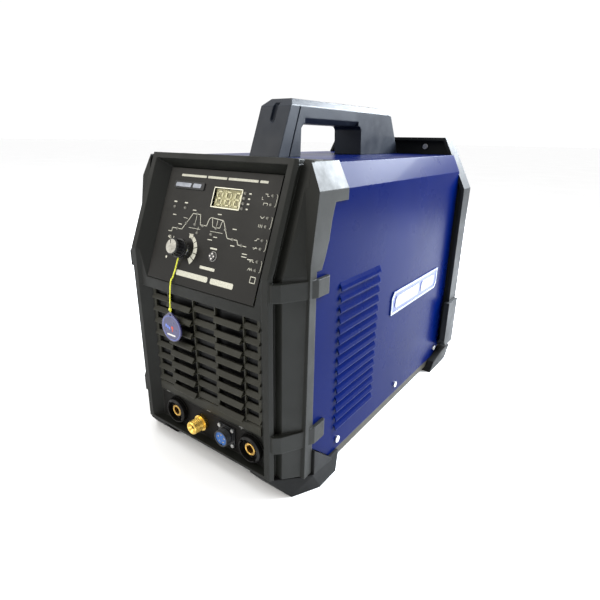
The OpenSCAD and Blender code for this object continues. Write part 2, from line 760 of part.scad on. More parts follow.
// Flat rear sheet that carries the fan, switch, gland and gas inlet
module rear_panel() {
    color([0.3, 0.3, 0.3]) placed() difference() {
        along_y(panel_y, panel_y + 2) rear_opening(0.3);
        rod_y([fan_at[0], panel_y - 2, fan_at[1]], fan_size - 6, 8);
        for (sx = [-1, 1], sz = [-1, 1])
            rod_y([fan_at[0] + sx * 52.5, panel_y - 2, fan_at[1] + sz * 52.5], 4.4, 8);
        box([switch_at[0] - 11, panel_y - 2, switch_at[1] - 14],
            [switch_at[0] + 11, panel_y + 5, switch_at[1] + 14]);
        rod_y([gland_at[0], panel_y - 2, gland_at[1]], 25.2, 8);
        rod_y([inlet_at[0], panel_y - 2, inlet_at[1]], 12.3, 8);
        rod_y([earth_at[0], panel_y - 2, earth_at[1]], 6.2, 8);
        for (k = [0:7]) box([-40 + k * 9, panel_y - 2, 285], [-35.5 + k * 9, panel_y + 5, 315]);
    }
}

module fence_screws() {
    color([0.8, 0.8, 0.8]) placed() for (x = [-60, 60]) {
        rod_y([x, rear_rim_y + 10.2, 346], 8, 1.8);
        rod_y([x, rear_rim_y + 11.9, 346], 3.9, 14);
    }
}

// Side outline of the handle as [y, z]: two legs and the grip between them
module handle_outline() {
    base = cover_top + 0.05;
    polygon([[handle_front, base], [handle_front + 22, handle_top - 8], [handle_front + 32, handle_top],
        [handle_rear - 60, handle_top + 0.5], [handle_rear - 30, handle_top - 9],
        [handle_rear - 13, handle_top - 37],
        [handle_rear, base], [grip_rear + 6, base], [grip_rear + 4, grip_low - 4], [grip_rear, grip_low],
        [grip_front + 6, grip_low], [grip_front + 1, grip_low - 5], [grip_front, base]]);
}

// The shell is the chamfered outer skin of the handle
module handle_shell() {
    hw = handle_w / 2;
    color([0.16, 0.19, 0.22]) placed() difference() {
        along_x(-hw, hw) handle_outline();
        // Chamfers along the top of the handle and under the grip
        both_sides() translate([hw, 0, handle_top]) rotate([0, 45, 0])
            box([-5, handle_front - 1, -5], [5, handle_rear + 1, 5]);
        both_sides() translate([hw, 0, grip_low]) rotate([0, 45, 0])
            box([-4, grip_front + 8, -4], [4, grip_rear - 4, 4]);
        // Room for the inner core and the screw recess at the front leg
        box([-hw + 5, handle_front + 26, 300], [hw - 5, grip_front + 0.05 - 4, grip_low + 8]);
        box([-hw + 5, grip_rear + 10, 300], [hw - 5, handle_rear - 24, grip_low + 2]);
        along_x(-hw - 1, -hw + 1.6) groove_line();
        along_x(hw - 1.6, hw + 1) groove_line();
        hull() for (k = [0, 1])
            translate([0, handle_front + 14 + 7 * k, handle_top - 22 + 16 * k]) rotate([110, 0, 0])
                cylinder(d = 7, h = 12, center = true, $fn = 32);
    }
}

// Parting line between the front face and the body of the front leg
module groove_line() {
    polygon([[handle_front + 17, cover_top - 1], [handle_front + 38, handle_top - 8],
        [handle_front + 40, handle_top - 8], [handle_front + 19, cover_top - 1]]);
}

module handle_core() {
    hw = handle_w / 2 - 5.2;
    color([0.1, 0.1, 0.1]) placed() difference() {
        union() {
            box([-hw, handle_front + 26.2, cover_top + 0.1], [hw, grip_front - 4.2, grip_low + 7]);
            box([-hw, grip_rear + 10.2, cover_top + 0.1], [hw, handle_rear - 24.2, grip_low + 1]);
        }
        for (x = [-8, 8], y = handle_bolt_y)
            translate([x, y, 300]) cylinder(d = 5, h = 60);
    }
}

module handle_screws() {
    color([0.7, 0.7, 0.7]) placed() for (x = [-8, 8], y = handle_bolt_y) {
        translate([x, y, cover_top - sheet]) cylinder(d = 4.8, h = 20);
        translate([x, y, cover_top - sheet - 3.3]) cylinder(d = 9, h = 3.2);
    }
}

module fan_guard() {
    color([0.1, 0.1, 0.1]) placed() translate([fan_at[0], panel_y + 2, fan_at[1]]) {
        for (r = [12:9:57]) ring_y(r, 2, 2.4, 3);
        for (a = [0:45:315]) rotate([0, a, 0]) box([8, 1.2, -1.2], [60, 2.4, 1.2]);
        rod_y([0, 1, 0], 20, 2.4);
        for (sx = [-1, 1], sz = [-1, 1]) difference() {
            hull() {
                rod_y([sx * 52.5, 0, sz * 52.5], 9, 3);
                rod_y([sx * 41, 0, sz * 41], 7, 3);
            }
            rod_y([sx * 52.5, -1, sz * 52.5], 4.4, 6);
        }
    }
}

// Ring round the Y axis: mean radius r, starting at depth y
module ring_y(r, y, t, len) {
    difference() {
        rod_y([0, y - 1, 0], 2 * r + t, len);
        rod_y([0, y - 2, 0], 2 * r - t, len + 2);
    }
}

module fan_frame() {
    y0 = panel_y - 38.2;
    color([0.12, 0.12, 0.12]) placed() difference() {
        union() {
            difference() {
                box([fan_at[0] - fan_size / 2, y0, fan_at[1] - fan_size / 2],
                    [fan_at[0] + fan_size / 2, y0 + 38, fan_at[1] + fan_size / 2]);
                rod_y([fan_at[0], y0 - 1, fan_at[1]], fan_size - 5, 50);
                for (sx = [-1, 1], sz = [-1, 1])
                    rod_y([fan_at[0] + sx * 52.5, y0 - 2, fan_at[1] + sz * 52.5], 4.4, 48);
            }
            rod_y([fan_at[0], y0, fan_at[1]], 42, 4);
            for (a = [20:90:290]) translate([fan_at[0], 0, fan_at[1]]) rotate([0, a, 0])
                box([18, y0, -2.5], [fan_size / 2 - 1, y0 + 3.5, 2.5]);
        }
        rod_y([fan_at[0], y0 - 1, fan_at[1]], 6.1, 10);
    }
}

// Hub with pitched blades on a short shaft
module fan_rotor() {
    y0 = panel_y - 33;
    color([0.15, 0.15, 0.16]) placed() translate([fan_at[0], 0, fan_at[1]]) {
        rod_y([0, y0, 0], 44, 27);
        rod_y([0, y0 - 5.2, 0], 6, 6);
        for (k = [0:fan_blades - 1]) rotate([0, k * 360 / fan_blades, 0])
            translate([38, y0 + 13.5, 0]) rotate([34, 0, 0]) cube([34, 2, 27], center = true);
    }
}

module switch_body() {
    color([0.1, 0.1, 0.1]) placed() translate([switch_at[0], panel_y, switch_at[1]]) difference() {
        union() {
            box([-13, 2.05, -16.5], [13, 4.5, 16.5]);
            box([-10.8, -26, -13.8], [10.8, 2.2, 13.8]);
        }
        box([-8.5, -9, -12], [8.5, 6, 12]);
        translate([0, -1.5, 0]) rotate([0, 90, 0]) cylinder(d = 3.1, h = 19.6, center = true);
    }
}

// Rocker pivoting on a pin across the switch
module switch_rocker() {
    color([0.7, 0.1, 0.1]) placed() translate([switch_at[0], panel_y - 1.5, switch_at[1]])
        rotate([rocker_tilt, 0, 0]) {
        rotate([0, 90, 0]) cylinder(d = 3, h = 19.4, center = true);
        along_x(-8, 8) polygon([[-2.5, -3], [-2.5, 3], [2.6, 10.2], [6.2, 9.6], [4.2, 0], [6.2, -9.6],
            [2.6, -10.2]]);
    }
}

module cable_gland() {
    color([0.12, 0.12, 0.12]) placed() translate([gland_at[0], panel_y, gland_at[1]]) difference() {
        union() {
            rod_y([0, -12, 0], 25, 14.5);
            translate([0, 2.05, 0]) rotate([-90, 0, 0]) cylinder(d = 36, h = 7, $fn = 6);
            translate([0, 9, 0]) rotate([-90, 0, 0]) cylinder(d1 = 31, d2 = 24, h = 14);
            translate([0, -8, 0]) rotate([-90, 0, 0]) cylinder(d = 34, h = 7.9, $fn = 6);
        }
        rod_y([0, -13, 0], 13, 40);
    }
}

module gas_inlet() {
    color([0.8, 0.62, 0.28]) placed() translate([inlet_at[0], panel_y, inlet_at[1]]) difference() {
        union() {
            rod_y([0, -14, 0], 12, 16.2);
            translate([0, 2.05, 0]) rotate([-90, 0, 0]) cylinder(d = 19, h = 6, $fn = 6);
            rod_y([0, 8, 0], 8, 25);
            for (k = [0:3])
                translate([0, 13 + k * 5, 0]) rotate([-90, 0, 0]) cylinder(d1 = 10, d2 = 8, h = 4);
            translate([0, -5.2, 0]) rotate([-90, 0, 0]) cylinder(d = 19, h = 5, $fn = 6);
            rod_y([0, -22, 0], 7, 9);
        }
        rod_y([0, -30, 0], 5, 80);
    }
}

module earth_bolt() {
    color([0.8, 0.8, 0.8]) placed() translate([earth_at[0], panel_y, earth_at[1]]) {
        rod_y([0, -10, 0], 6, 30);
        translate([0, 2.05, 0]) rotate([-90, 0, 0]) cylinder(d = 11.5, h = 5, $fn = 6);
        translate([0, 8.5, 0]) rotate([-90, 0, 0]) cylinder(d = 14, h = 1.6);
        rod_y([0, -6.2, 0], 11, 6);
    }
}

// Solenoid valve on the tray: brass block with a round coil on top
module gas_valve() {
    color([0.6, 0.55, 0.45]) placed() translate([-84, 340, 9.4]) {
        box([-14, -18, 0], [14, 18, 22]);
        translate([0, 0, 22]) cylinder(d = 24, h = 30);
        translate([0, 0, 52]) cylinder(d = 9, h = 3);
        rod_y([0, 18, 12], 8, 12);
        rod_y([0, -30, 12], 8, 12);
    }
}

// Hose from the inlet down to the valve, and from the valve forward to the outlet
module gas_hoses() {
    color([0.1, 0.1, 0.1]) placed() {
        tube(smooth([[inlet_at[0], panel_y - 22.6, inlet_at[1]],
            [inlet_at[0], panel_y - 32, inlet_at[1] - 1],
            [-76, panel_y - 46, 52], [-82, panel_y - 52, 32], [-84, 380, 22], [-84, 370.5, 21.4]]),
            9, [1, 0, 0]);
        tube(smooth([[-84, 309.5, 21.4], [-84, 290, 21.4], [-84, 220, 22], [-76, 130, 23], [-40, 80, 28],
            [gas_x, 58, 38], [gas_x, plate_y + 38, socket_z], [gas_x, plate_y + 30.6, socket_z]]),
            9, [0.1, 0, 1]);
    }
}

module power_board() {
    color([0.1, 0.35, 0.2]) placed() difference() {
        box([-100, 90, 232], [100, 372, 234]);
        for (x = [-92, 92], y = [98, 364]) translate([x, y, 230]) cylinder(d = 4.2, h = 6);
    }
    color([0.7, 0.7, 0.7]) placed() for (x = [-92, 92], y = [98, 364])
        translate([x, y, tray_low + sheet]) cylinder(d = 7, h = 232 - tray_low - sheet);
}

// Two finned blocks that hang under the power board
module heat_sinks() {
    color([0.75, 0.76, 0.78]) placed() for (side = [-1, 1]) translate([side * 46, 0, 0]) {
        box([-34, 110, 214], [34, 260, 224]);
        for (k = [0:8]) box([-33.5 + k * 8, 110, 184], [-31.5 + k * 8, 260, 214.1]);
    }
}

module power_transistors() {
    color([0.1, 0.1, 0.1]) placed() for (side = [-1, 1], k = [0:4])
        translate([side * 46, 124 + k * 28, 224.05]) {
        translate([-10, -8, 0]) cube([20, 16, 5]);
        for (p = [-1:1]) translate([p * 5.4 - 0.6, 8, 1.5]) cube([1.2, 3, 6.4]);
    }
}

module bus_capacitors() {
    color([0.1, 0.1, 0.2]) placed() for (x = [-75, -38, 0, 38, 75], y = [290, 330])
        translate([x, y, 234.05]) cylinder(d = 32, h = 52);
}

module transformer_core() {
    color([0.15, 0.15, 0.16]) placed() difference() {
        box([-30, 200, tray_low + sheet + 0.1], [62, 270, 84]);
        box([-18, 199, 24], [4, 271, 70]);
        box([28, 199, 24], [50, 271, 70]);
    }
}

module transformer_coil() {
    color([0.7, 0.45, 0.2]) placed() difference() {
        box([-17.6, 188, 26], [49.6, 282, 68]);
        box([3.8, 199.8, 20], [28.2, 270.2, 75]);
    }
}

module output_choke() {
    color([0.65, 0.4, 0.15]) placed() translate([44, 140, tray_low + sheet + 0.1]) {
        difference() {
            cylinder(d = 74, h = 34);
            translate([0, 0, -1]) cylinder(d = 30, h = 40);
        }
        for (a = [0:24:336]) rotate(a) translate([26, 0, 34]) cube([22, 5, 3], center = true);
    }
}

module output_busbars() {
    color([0.75, 0.42, 0.2]) placed() for (x = socket_x) difference() {
        union() {
            box([x - 9, plate_y + 37, 34], [x + 9, plate_y + 40, 180]);
            box([x - 9, plate_y + 37, 177], [x + 9, 108, 180]);
        }
        rod_y([x, plate_y + 30, socket_z], 12.1, 20);
    }
}

// Round drop-shaped tag with an eyelet hole for the string
module swing_tag() {
    color([0.36, 0.34, 0.6]) placed() translate(tag_at) rotate([90, 0, 0]) difference() {
        hull() {
            cylinder(r = 15.5, h = 1.6, center = true);
            translate([0, 15.1, 0]) cylinder(r = 3.4, h = 1.6, center = true);
        }
        translate([0, 15.1, -2]) cylinder(d = 2.4, h = 4);
    }
}

// Point at t between the middle two of four points on a smooth curve
function between(p0, p1, p2, p3, t) = 0.5 * (2 * p1 + (p2 - p0) * t
    + (2 * p0 - 5 * p1 + 4 * p2 - p3) * t * t + (3 * p1 - p0 - 3 * p2 + p3) * t * t * t);
// A route with two extra points in each of its spans
function smooth(r) = let (n = len(r)) concat([for (i = [0:n - 2], k = [0:2])
    between(r[max(i - 1, 0)], r[i], r[i + 1], r[min(i + 2, n - 1)], k / 3)], [r[n - 1]]);
function unit(v) = v / norm(v);
// Direction of the route at point i
function heading(r, i) = unit(r[min(i + 1, len(r) - 1)] - r[max(i - 1, 0)]);
// One ring of the tube: eight corners square to the route
function ring(p, dir, r, ref) = let (side = unit(cross(dir, ref)), up = cross(side, dir))
    [for (k = [0:7]) p + r * (cos(45 * k) * side + sin(45 * k) * up)];

// Round tube along a route; ref is a direction that the route never follows
module tube(route, d, ref) {
    n = len(route);
    points = [for (i = [0:n - 1], p = ring(route[i], heading(route, i), d / 2, ref)) p];
    sides = [for (i = [0:n - 2], k = [0:7])
        [i * 8 + k, i * 8 + (k + 1) % 8, (i + 1) * 8 + (k + 1) % 8, (i + 1) * 8 + k]];
    polyhedron(points, concat(sides, [[for (k = [7:-1:0]) k]], [[for (k = [0:7]) (n - 1) * 8 + k]]));
}

module tag_string() {
    color([0.85, 0.82, 0.2]) placed() tube(tag_route, string_d, [0, -cos(tilt_a), sin(tilt_a)]);
}

front_bezel();
front_boots();
front_grille();
connector_plate();
control_plate();
display_window();
display_module();
panel_lamps();
panel_badge();
control_board();
encoder_body();
knob();
knob_cap();
menu_button();
socket_shell(socket_x[0]);  // socket_shell_left
socket_shell(socket_x[1]);  // socket_shell_right
socket_insert(socket_x[0]);  // socket_insert_left
socket_insert(socket_x[1]);  // socket_insert_right
socket_nuts();
gas_outlet();
gas_outlet_nut();
control_socket();
control_socket_insert();
control_socket_pins();
control_socket_screws();
cover();
side_badge_right();
side_badge_left();
cover_screws();
base_tray();
rear_frame();
rear_boots();
rear_panel();
fence_screws();
handle_shell();
handle_core();
handle_screws();
fan_guard();
fan_frame();
fan_rotor();
switch_body();
switch_rocker();
cable_gland();
gas_inlet();
earth_bolt();
gas_valve();
gas_hoses();
power_board();
heat_sinks();
power_transistors();
bus_capacitors();
transformer_core();
transformer_coil();
output_choke();
output_busbars();
swing_tag();
tag_string();
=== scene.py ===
import json
import math

import bmesh
import bpy
from mathutils import Matrix, Vector


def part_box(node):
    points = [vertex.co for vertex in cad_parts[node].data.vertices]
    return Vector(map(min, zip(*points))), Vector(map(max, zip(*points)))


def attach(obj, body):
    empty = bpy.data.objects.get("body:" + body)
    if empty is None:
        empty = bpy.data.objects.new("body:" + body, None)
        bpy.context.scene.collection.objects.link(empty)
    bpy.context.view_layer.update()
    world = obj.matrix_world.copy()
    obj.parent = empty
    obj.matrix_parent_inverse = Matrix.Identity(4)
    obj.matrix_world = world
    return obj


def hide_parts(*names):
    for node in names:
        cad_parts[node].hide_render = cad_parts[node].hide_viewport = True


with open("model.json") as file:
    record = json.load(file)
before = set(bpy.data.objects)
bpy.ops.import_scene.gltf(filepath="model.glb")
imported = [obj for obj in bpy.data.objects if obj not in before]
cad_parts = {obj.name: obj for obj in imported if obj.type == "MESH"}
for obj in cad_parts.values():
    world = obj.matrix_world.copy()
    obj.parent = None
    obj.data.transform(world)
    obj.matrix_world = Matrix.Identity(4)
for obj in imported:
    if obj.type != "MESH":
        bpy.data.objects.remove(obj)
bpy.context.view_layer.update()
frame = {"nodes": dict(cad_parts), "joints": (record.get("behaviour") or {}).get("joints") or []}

scene = bpy.context.scene
scene.view_settings.view_transform = "Standard"
NODES = frame["nodes"]
MM = 0.001

# The leaning panel: its own axes come from the knob's joint, its surface from the knob's place on it
KNOB_JOINT = next(j for j in frame["joints"] if j["name"] == "knob_turn")
FRONT_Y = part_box("front_bezel")[0].y
OUT = Vector(KNOB_JOINT["axis"]).normalized()
UP = Vector((0, OUT.z, -OUT.y))
ACROSS = Vector((1, 0, 0))
KNOB_AT = Vector(KNOB_JOINT["pos_m"])
# In millimetres: the knob's joint and the menu key up the panel, the joint's height over the film,
# and how far the socket plate lies behind the front rim
KNOB_UP = 10.5
KEY_UP = 10.0
KNOB_LIFT = 4.4
PLATE_Y = 10.0
COVER_SIDE = 0.12
ORIGIN = KNOB_AT - ACROSS * KNOB_AT.x - UP * KNOB_UP * MM - OUT * KNOB_LIFT * MM


def on_panel(x, v, h=0.0):
    """A point x across and v up the panel, h above its surface, all in millimetres."""
    return ORIGIN + ACROSS * x * MM + UP * v * MM + OUT * h * MM


def on_front(x, z, y=0.0):
    """A point x across, z above the floor and y behind the front rim, in millimetres."""
    return Vector((x * MM, FRONT_Y + y * MM, z * MM))


def front_mid(name):
    """A node's middle across and up, and how far its front lies behind the front rim, in millimetres."""
    low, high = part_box(name)
    return (low.x + high.x) / 2 / MM, (low.z + high.z) / 2 / MM, (low.y - FRONT_Y) / MM


def panel_top(name):
    """The highest point of a node over the panel, in millimetres."""
    return max((Vector(c.co) - ORIGIN).dot(OUT) for c in NODES[name].data.vertices) / MM


def on_right(y, z, out=0.0):
    """A point on the cover's right side: y behind the front rim, out from the sheet, in millimetres."""
    return Vector((COVER_SIDE + out * MM, FRONT_Y + y * MM, z * MM))


def on_left(y, z, out=0.0):
    spot = on_right(y, z, out)
    return Vector((-spot.x, spot.y, spot.z))


# Camera

def add_camera():
    yaw, pitch, roll = 0.6287, 0.3461, 0.0156
    ahead = Vector((-math.sin(yaw) * math.cos(pitch), math.cos(yaw) * math.cos(pitch), -math.sin(pitch)))
    level = Vector((math.cos(yaw), math.sin(yaw), 0))
    upward = level.cross(ahead)
    right = level * math.cos(roll) + upward * math.sin(roll)
    top = right.cross(ahead)
    data = bpy.data.cameras.new("camera")
    data.lens = 26.92
    data.sensor_width = 36
    data.clip_start = 0.02
    data.clip_end = 200
    cam = bpy.data.objects.new("camera", data)
    scene.collection.objects.link(cam)
    turn = Matrix((right, top, -ahead)).transposed().to_4x4()
    cam.matrix_world = Matrix.Translation((0.3367, -0.5082, 0.3552)) @ turn
    scene.camera = cam


add_camera()


# Material helpers

class Shader:
    """A new material with its principled shader, object coordinates and a few short ways to wire them."""

    def __init__(self, name, metallic=0.0, specular=0.5, coat=0.0, coat_rough=0.05):
        self.mat = bpy.data.materials.new(name)
        self.mat.use_nodes = True
        self.tree = self.mat.node_tree
        self.bsdf = next(n for n in self.tree.nodes if n.type == "BSDF_PRINCIPLED")
        self.bsdf.inputs["Metallic"].default_value = metallic
        self.bsdf.inputs["Specular IOR Level"].default_value = specular
        self.bsdf.inputs["Coat Weight"].default_value = coat
        self.bsdf.inputs["Coat Roughness"].default_value = coat_rough
        self.coords = self.tree.nodes.new("ShaderNodeTexCoord").outputs["Object"]

    def node(self, kind, **values):
        made = self.tree.nodes.new(kind)
        for key, value in values.items():
            if key in made.inputs:
                made.inputs[key].default_value = value
            else:
                setattr(made, key, value)
        return made

    def link(self, source, target):
        self.tree.links.new(source, target)

    def stretched(self, scale):
        mapping = self.node("ShaderNodeMapping")
        mapping.inputs["Scale"].default_value = scale
        self.link(self.coords, mapping.inputs["Vector"])
        return mapping.outputs["Vector"]

    def noise(self, scale, detail=3.0, rough=0.55, vector=None):
        made = self.node("ShaderNodeTexNoise", Scale=scale, Detail=detail, Roughness=rough)
        self.link(vector or self.coords, made.inputs["Vector"])
        return made.outputs["Fac"]

    def ramp(self, source, stops):
        made = self.node("ShaderNodeValToRGB")
        cells = made.color_ramp.elements
        while len(cells) < len(stops):
            cells.new(0.5)
        for cell, (spot, colour) in zip(cells, stops):
            cell.position = spot
            cell.color = (*colour, 1)
        self.link(source, made.inputs["Fac"])
        return made.outputs["Color"]

    def spread(self, source, low, high, to_low, to_high):
        made = self.node("ShaderNodeMapRange")
        for spot, value in zip(("From Min", "From Max", "To Min", "To Max"), (low, high, to_low, to_high)):
            made.inputs[spot].default_value = value
        self.link(source, made.inputs["Value"])
        return made.outputs["Result"]

    def math(self, kind, first, second):
        made = self.node("ShaderNodeMath", operation=kind)
        for slot, value in zip(made.inputs, (first, second)):
            if isinstance(value, (int, float)):
                slot.default_value = value
            else:
                self.link(value, slot)
        return made.outputs[0]

    def mix(self, fac, first, second):
        made = self.node("ShaderNodeMix", data_type="RGBA")
        self.link(fac, made.inputs["Factor"])
        sockets = [s for s in made.inputs if s.type == "RGBA"]
        for slot, value in zip(sockets, (first, second)):
            if isinstance(value, tuple):
                slot.default_value = (*value, 1)
            else:
                self.link(value, slot)
        return next(s for s in made.outputs if s.type == "RGBA")

    def rounded(self, radius):
        """A normal that rounds sharp edges, and how near an edge the spot is."""
        soft = self.node("ShaderNodeBevel", samples=6, Radius=radius)
        plain = self.node("ShaderNodeNewGeometry")
        dot = self.node("ShaderNodeVectorMath", operation="DOT_PRODUCT")
        self.link(soft.outputs["Normal"], dot.inputs[0])
        self.link(plain.outputs["Normal"], dot.inputs[1])
        edge = self.spread(dot.outputs["Value"], 1.0, 0.8, 0.0, 1.0)
        return soft.outputs["Normal"], edge

    def bump(self, height, distance, strength=1.0, normal=None):
        made = self.node("ShaderNodeBump", Strength=strength, Distance=distance)
        self.link(height, made.inputs["Height"])
        if normal is not None:
            self.link(normal, made.inputs["Normal"])
        return made.outputs["Normal"]

    def finish(self, colour, rough, normal):
        if isinstance(colour, tuple):
            self.bsdf.inputs["Base Color"].default_value = (*colour, 1)
        else:
            self.link(colour, self.bsdf.inputs["Base Color"])
        self.link(rough, self.bsdf.inputs["Roughness"])
        self.link(normal, self.bsdf.inputs["Normal"])
        if self.bsdf.inputs["Coat Weight"].default_value > 0:
            self.link(normal, self.bsdf.inputs["Coat Normal"])
        return self.mat


def scaled(colour, factor):
    return tuple(c * factor for c in colour)


def moulded(name, colour, rough=0.5, grain=0.00004, grain_size=1500, rub=1.8, edge=0.0009, specular=0.2):
    """Injection-moulded plastic: fine spark-eroded grain, faint flow shading and paler rubbed edges."""
    s = Shader(name, specular=specular)
    normal, near = s.rounded(edge)
    flow = s.noise(9, 4)
    body = s.ramp(flow, [(0.3, scaled(colour, 0.82)), (0.72, scaled(colour, 1.2))])
    patchy = s.spread(s.noise(55, 5, 0.7), 0.35, 0.75, 0.1, 1.0)
    tone = s.mix(s.math("MULTIPLY", near, patchy), body, scaled(colour, rub))
    roughness = s.spread(s.noise(32, 5, 0.65), 0.3, 0.7, rough - 0.07, rough + 0.09)
    return s.finish(tone, roughness, s.bump(s.noise(grain_size, 2), grain, 1.0, normal))


def turned(name, colour, rough=0.25, lines=(900, 60, 900), depth=0.00002, tarnish=0.7, edge=0.0004):
    """Machined metal: fine tool lines, cloudy tarnish and bright edges."""
    s = Shader(name, metallic=1.0)
    normal, near = s.rounded(edge)
    cloud = s.noise(70, 5, 0.65)
    body = s.ramp(cloud, [(0.3, scaled(colour, tarnish)), (0.7, colour)])
    tone = s.mix(near, body, scaled(colour, 1.15))
    streak = s.noise(1.0, 3, 0.6, s.stretched(lines))
    roughness = s.spread(cloud, 0.3, 0.7, rough + 0.12, rough - 0.04)
    return s.finish(tone, roughness, s.bump(streak, depth, 0.6, normal))


# Materials, one short function each

def bezel_plastic():
    return moulded("bezel_plastic", (0.0062, 0.0065, 0.005), 0.5, rub=2.3, edge=0.0013)


def grille_plastic():
    """Grained plastic with painted shade: it turns near black behind the blades, darker the deeper it lies.
    """
    s = Shader("grille_plastic", specular=0.2)
    normal, near = s.rounded(0.0009)
    body = s.ramp(s.noise(9, 4), [(0.3, (0.0135, 0.013, 0.0084)), (0.72, (0.02, 0.019, 0.0124))])
    tone = s.mix(s.math("MULTIPLY", near, s.noise(55, 5, 0.7)), body, (0.04, 0.038, 0.026))
    # Painted shade: near black is mixed in by depth behind the front rim, standing in for the shade behind
    # the blades.
    parts = s.node("ShaderNodeSeparateXYZ")
    s.link(s.coords, parts.inputs[0])
    shade_from, shade_to = FRONT_Y + 0.0108, FRONT_Y + 0.0128
    painted_shade = s.spread(parts.outputs["Y"], shade_from, shade_to, 0.0, 1.0)
    tone = s.mix(painted_shade, tone, (0.0008, 0.0008, 0.0009))
    roughness = s.spread(s.noise(32, 5, 0.65), 0.3, 0.7, 0.4, 0.56)
    return s.finish(tone, roughness, s.bump(s.noise(1500, 2), 0.00004, 1.0, normal))


def boot_plastic():
    return moulded("boot_plastic", (0.0045, 0.0045, 0.0045), 0.6, rub=2.2, edge=0.0016, specular=0.15)


def rear_plastic():
    return moulded("rear_plastic", (0.0055, 0.0064, 0.0072), 0.5, rub=2.0, edge=0.0013, specular=0.14)


def handle_plastic():
    return moulded("handle_plastic", (0.009, 0.0122, 0.019), 0.4, 0.00006, 1100, rub=1.9, edge=0.0018)


def plain_black():
    return moulded("plain_black", (0.0045, 0.0045, 0.0048), 0.5, rub=2.0, edge=0.0005)


def plate_black():
    return moulded("plate_black", (0.004, 0.0035, 0.0028), 0.62, rub=1.6, edge=0.0005, specular=0.15)


def socket_phenolic():
    return moulded("socket_phenolic", (0.0035, 0.0032, 0.003), 0.34, 0.00001, 900, rub=3.0, edge=0.0009)


def cover_paint():
    """Deep blue gloss paint with orange peel, a thin clear coat and rubbed edges."""
    s = Shader("cover_paint", specular=0.014, coat=0.05, coat_rough=0.06)
    s.bsdf.inputs["Coat IOR"].default_value = 1.16
    normal, near = s.rounded(0.0011)
    body = s.ramp(s.noise(5, 3), [(0.3, (0.0002, 0.0032, 0.04)), (0.7, (0.0003, 0.0046, 0.054))])
    speck = s.spread(s.noise(420, 2), 0.64, 0.8, 0.0, 0.3)
    tone = s.mix(speck, body, (0.001, 0.011, 0.1))
    worn = s.math("MULTIPLY", near, s.spread(s.noise(38, 6, 0.7), 0.42, 0.7, 0.0, 0.8))
    tone = s.mix(worn, tone, (0.012, 0.045, 0.26))
    roughness = s.spread(s.noise(12, 4, 0.6), 0.35, 0.7, 0.26, 0.34)
    return s.finish(tone, roughness, s.bump(s.noise(260, 3), 0.00002, 0.3, normal))


def tray_paint():
    return moulded("tray_paint", (0.03, 0.026, 0.018), 0.55, 0.00003, 700, rub=2.4, edge=0.0006)


def panel_film():
    """Printed overlay film: satin, very dark warm grey, with a pebbled face."""
    s = Shader("panel_film", specular=0.18)
    normal, near = s.rounded(0.0004)
    body = s.ramp(s.noise(14, 4), [(0.3, (0.0066, 0.006, 0.005)), (0.7, (0.0094, 0.0086, 0.0072))])
    tone = s.mix(near, body, (0.06, 0.06, 0.055))
    smear = s.noise(22, 6, 0.7)
    roughness = s.spread(smear, 0.3, 0.7, 0.36, 0.52)
    return s.finish(tone, roughness, s.bump(s.noise(900, 2), 0.00003, 0.8, normal))


def ink(name, colour):
    """Screen-printed ink: slightly uneven, with darker specks."""
    s = Shader(name, specular=0.3)
    holes = s.noise(1300, 3, 0.6)
    tone = s.ramp(holes, [(0.3, scaled(colour, 0.62)), (0.55, colour)])
    roughness = s.spread(s.noise(60, 4), 0.3, 0.7, 0.38, 0.55)
    return s.finish(tone, roughness, s.bump(holes, 0.00002, 0.6))


def display_face():
    """Unlit display body: putty grey resin with a faint mottle."""
    s = Shader("display_face", specular=0.4)
    tone = s.ramp(s.noise(160, 4), [(0.3, (0.31, 0.29, 0.175)), (0.7, (0.38, 0.355, 0.225))])
    roughness = s.spread(s.noise(90, 3), 0.3, 0.7, 0.34, 0.5)
    return s.finish(tone, roughness, s.bump(s.noise(900, 2), 0.00002, 0.5))


def clear_window():
    """Thin clear cover with a faint warm tint and a little dust haze."""
    s = Shader("clear_window", specular=0.3)
    s.bsdf.inputs["Transmission Weight"].default_value = 1.0
    s.bsdf.inputs["IOR"].default_value = 1.02
    tone = s.ramp(s.noise(60, 3), [(0.3, (0.95, 0.94, 0.88)), (0.7, (0.99, 0.98, 0.94))])
    roughness = s.spread(s.noise(120, 4), 0.4, 0.7, 0.0, 0.02)
    return s.finish(tone, roughness, s.bump(s.noise(40, 2), 0.000002, 0.1))


def lamp_lens():
    s = Shader("lamp_lens", specular=0.5)
    tone = s.ramp(s.noise(260, 3), [(0.3, (0.11, 0.105, 0.088)), (0.7, (0.23, 0.22, 0.185))])
    roughness = s.spread(s.noise(500, 3), 0.3, 0.7, 0.25, 0.42)
    return s.finish(tone, roughness, s.bump(s.noise(700, 2), 0.00004, 0.7))


def brass():
    return turned("brass", (0.88, 0.60, 0.14), 0.2, (700, 90, 700), 0.00003, 0.78)


def old_brass():
    return turned("old_brass", (0.62, 0.36, 0.11), 0.3, (700, 90, 700), 0.00003, 0.45)


def gold_pin():
    return turned("gold_pin", (0.9, 0.66, 0.28), 0.16, (600, 80, 600), 0.00001, 0.85)


def nickel():
    return turned("nickel", (0.07, 0.072, 0.075), 0.34, (500, 80, 500), 0.00002, 0.6)


def zinc():
    return turned("zinc", (0.66, 0.66, 0.64), 0.3, (900, 900, 900), 0.00003, 0.62)


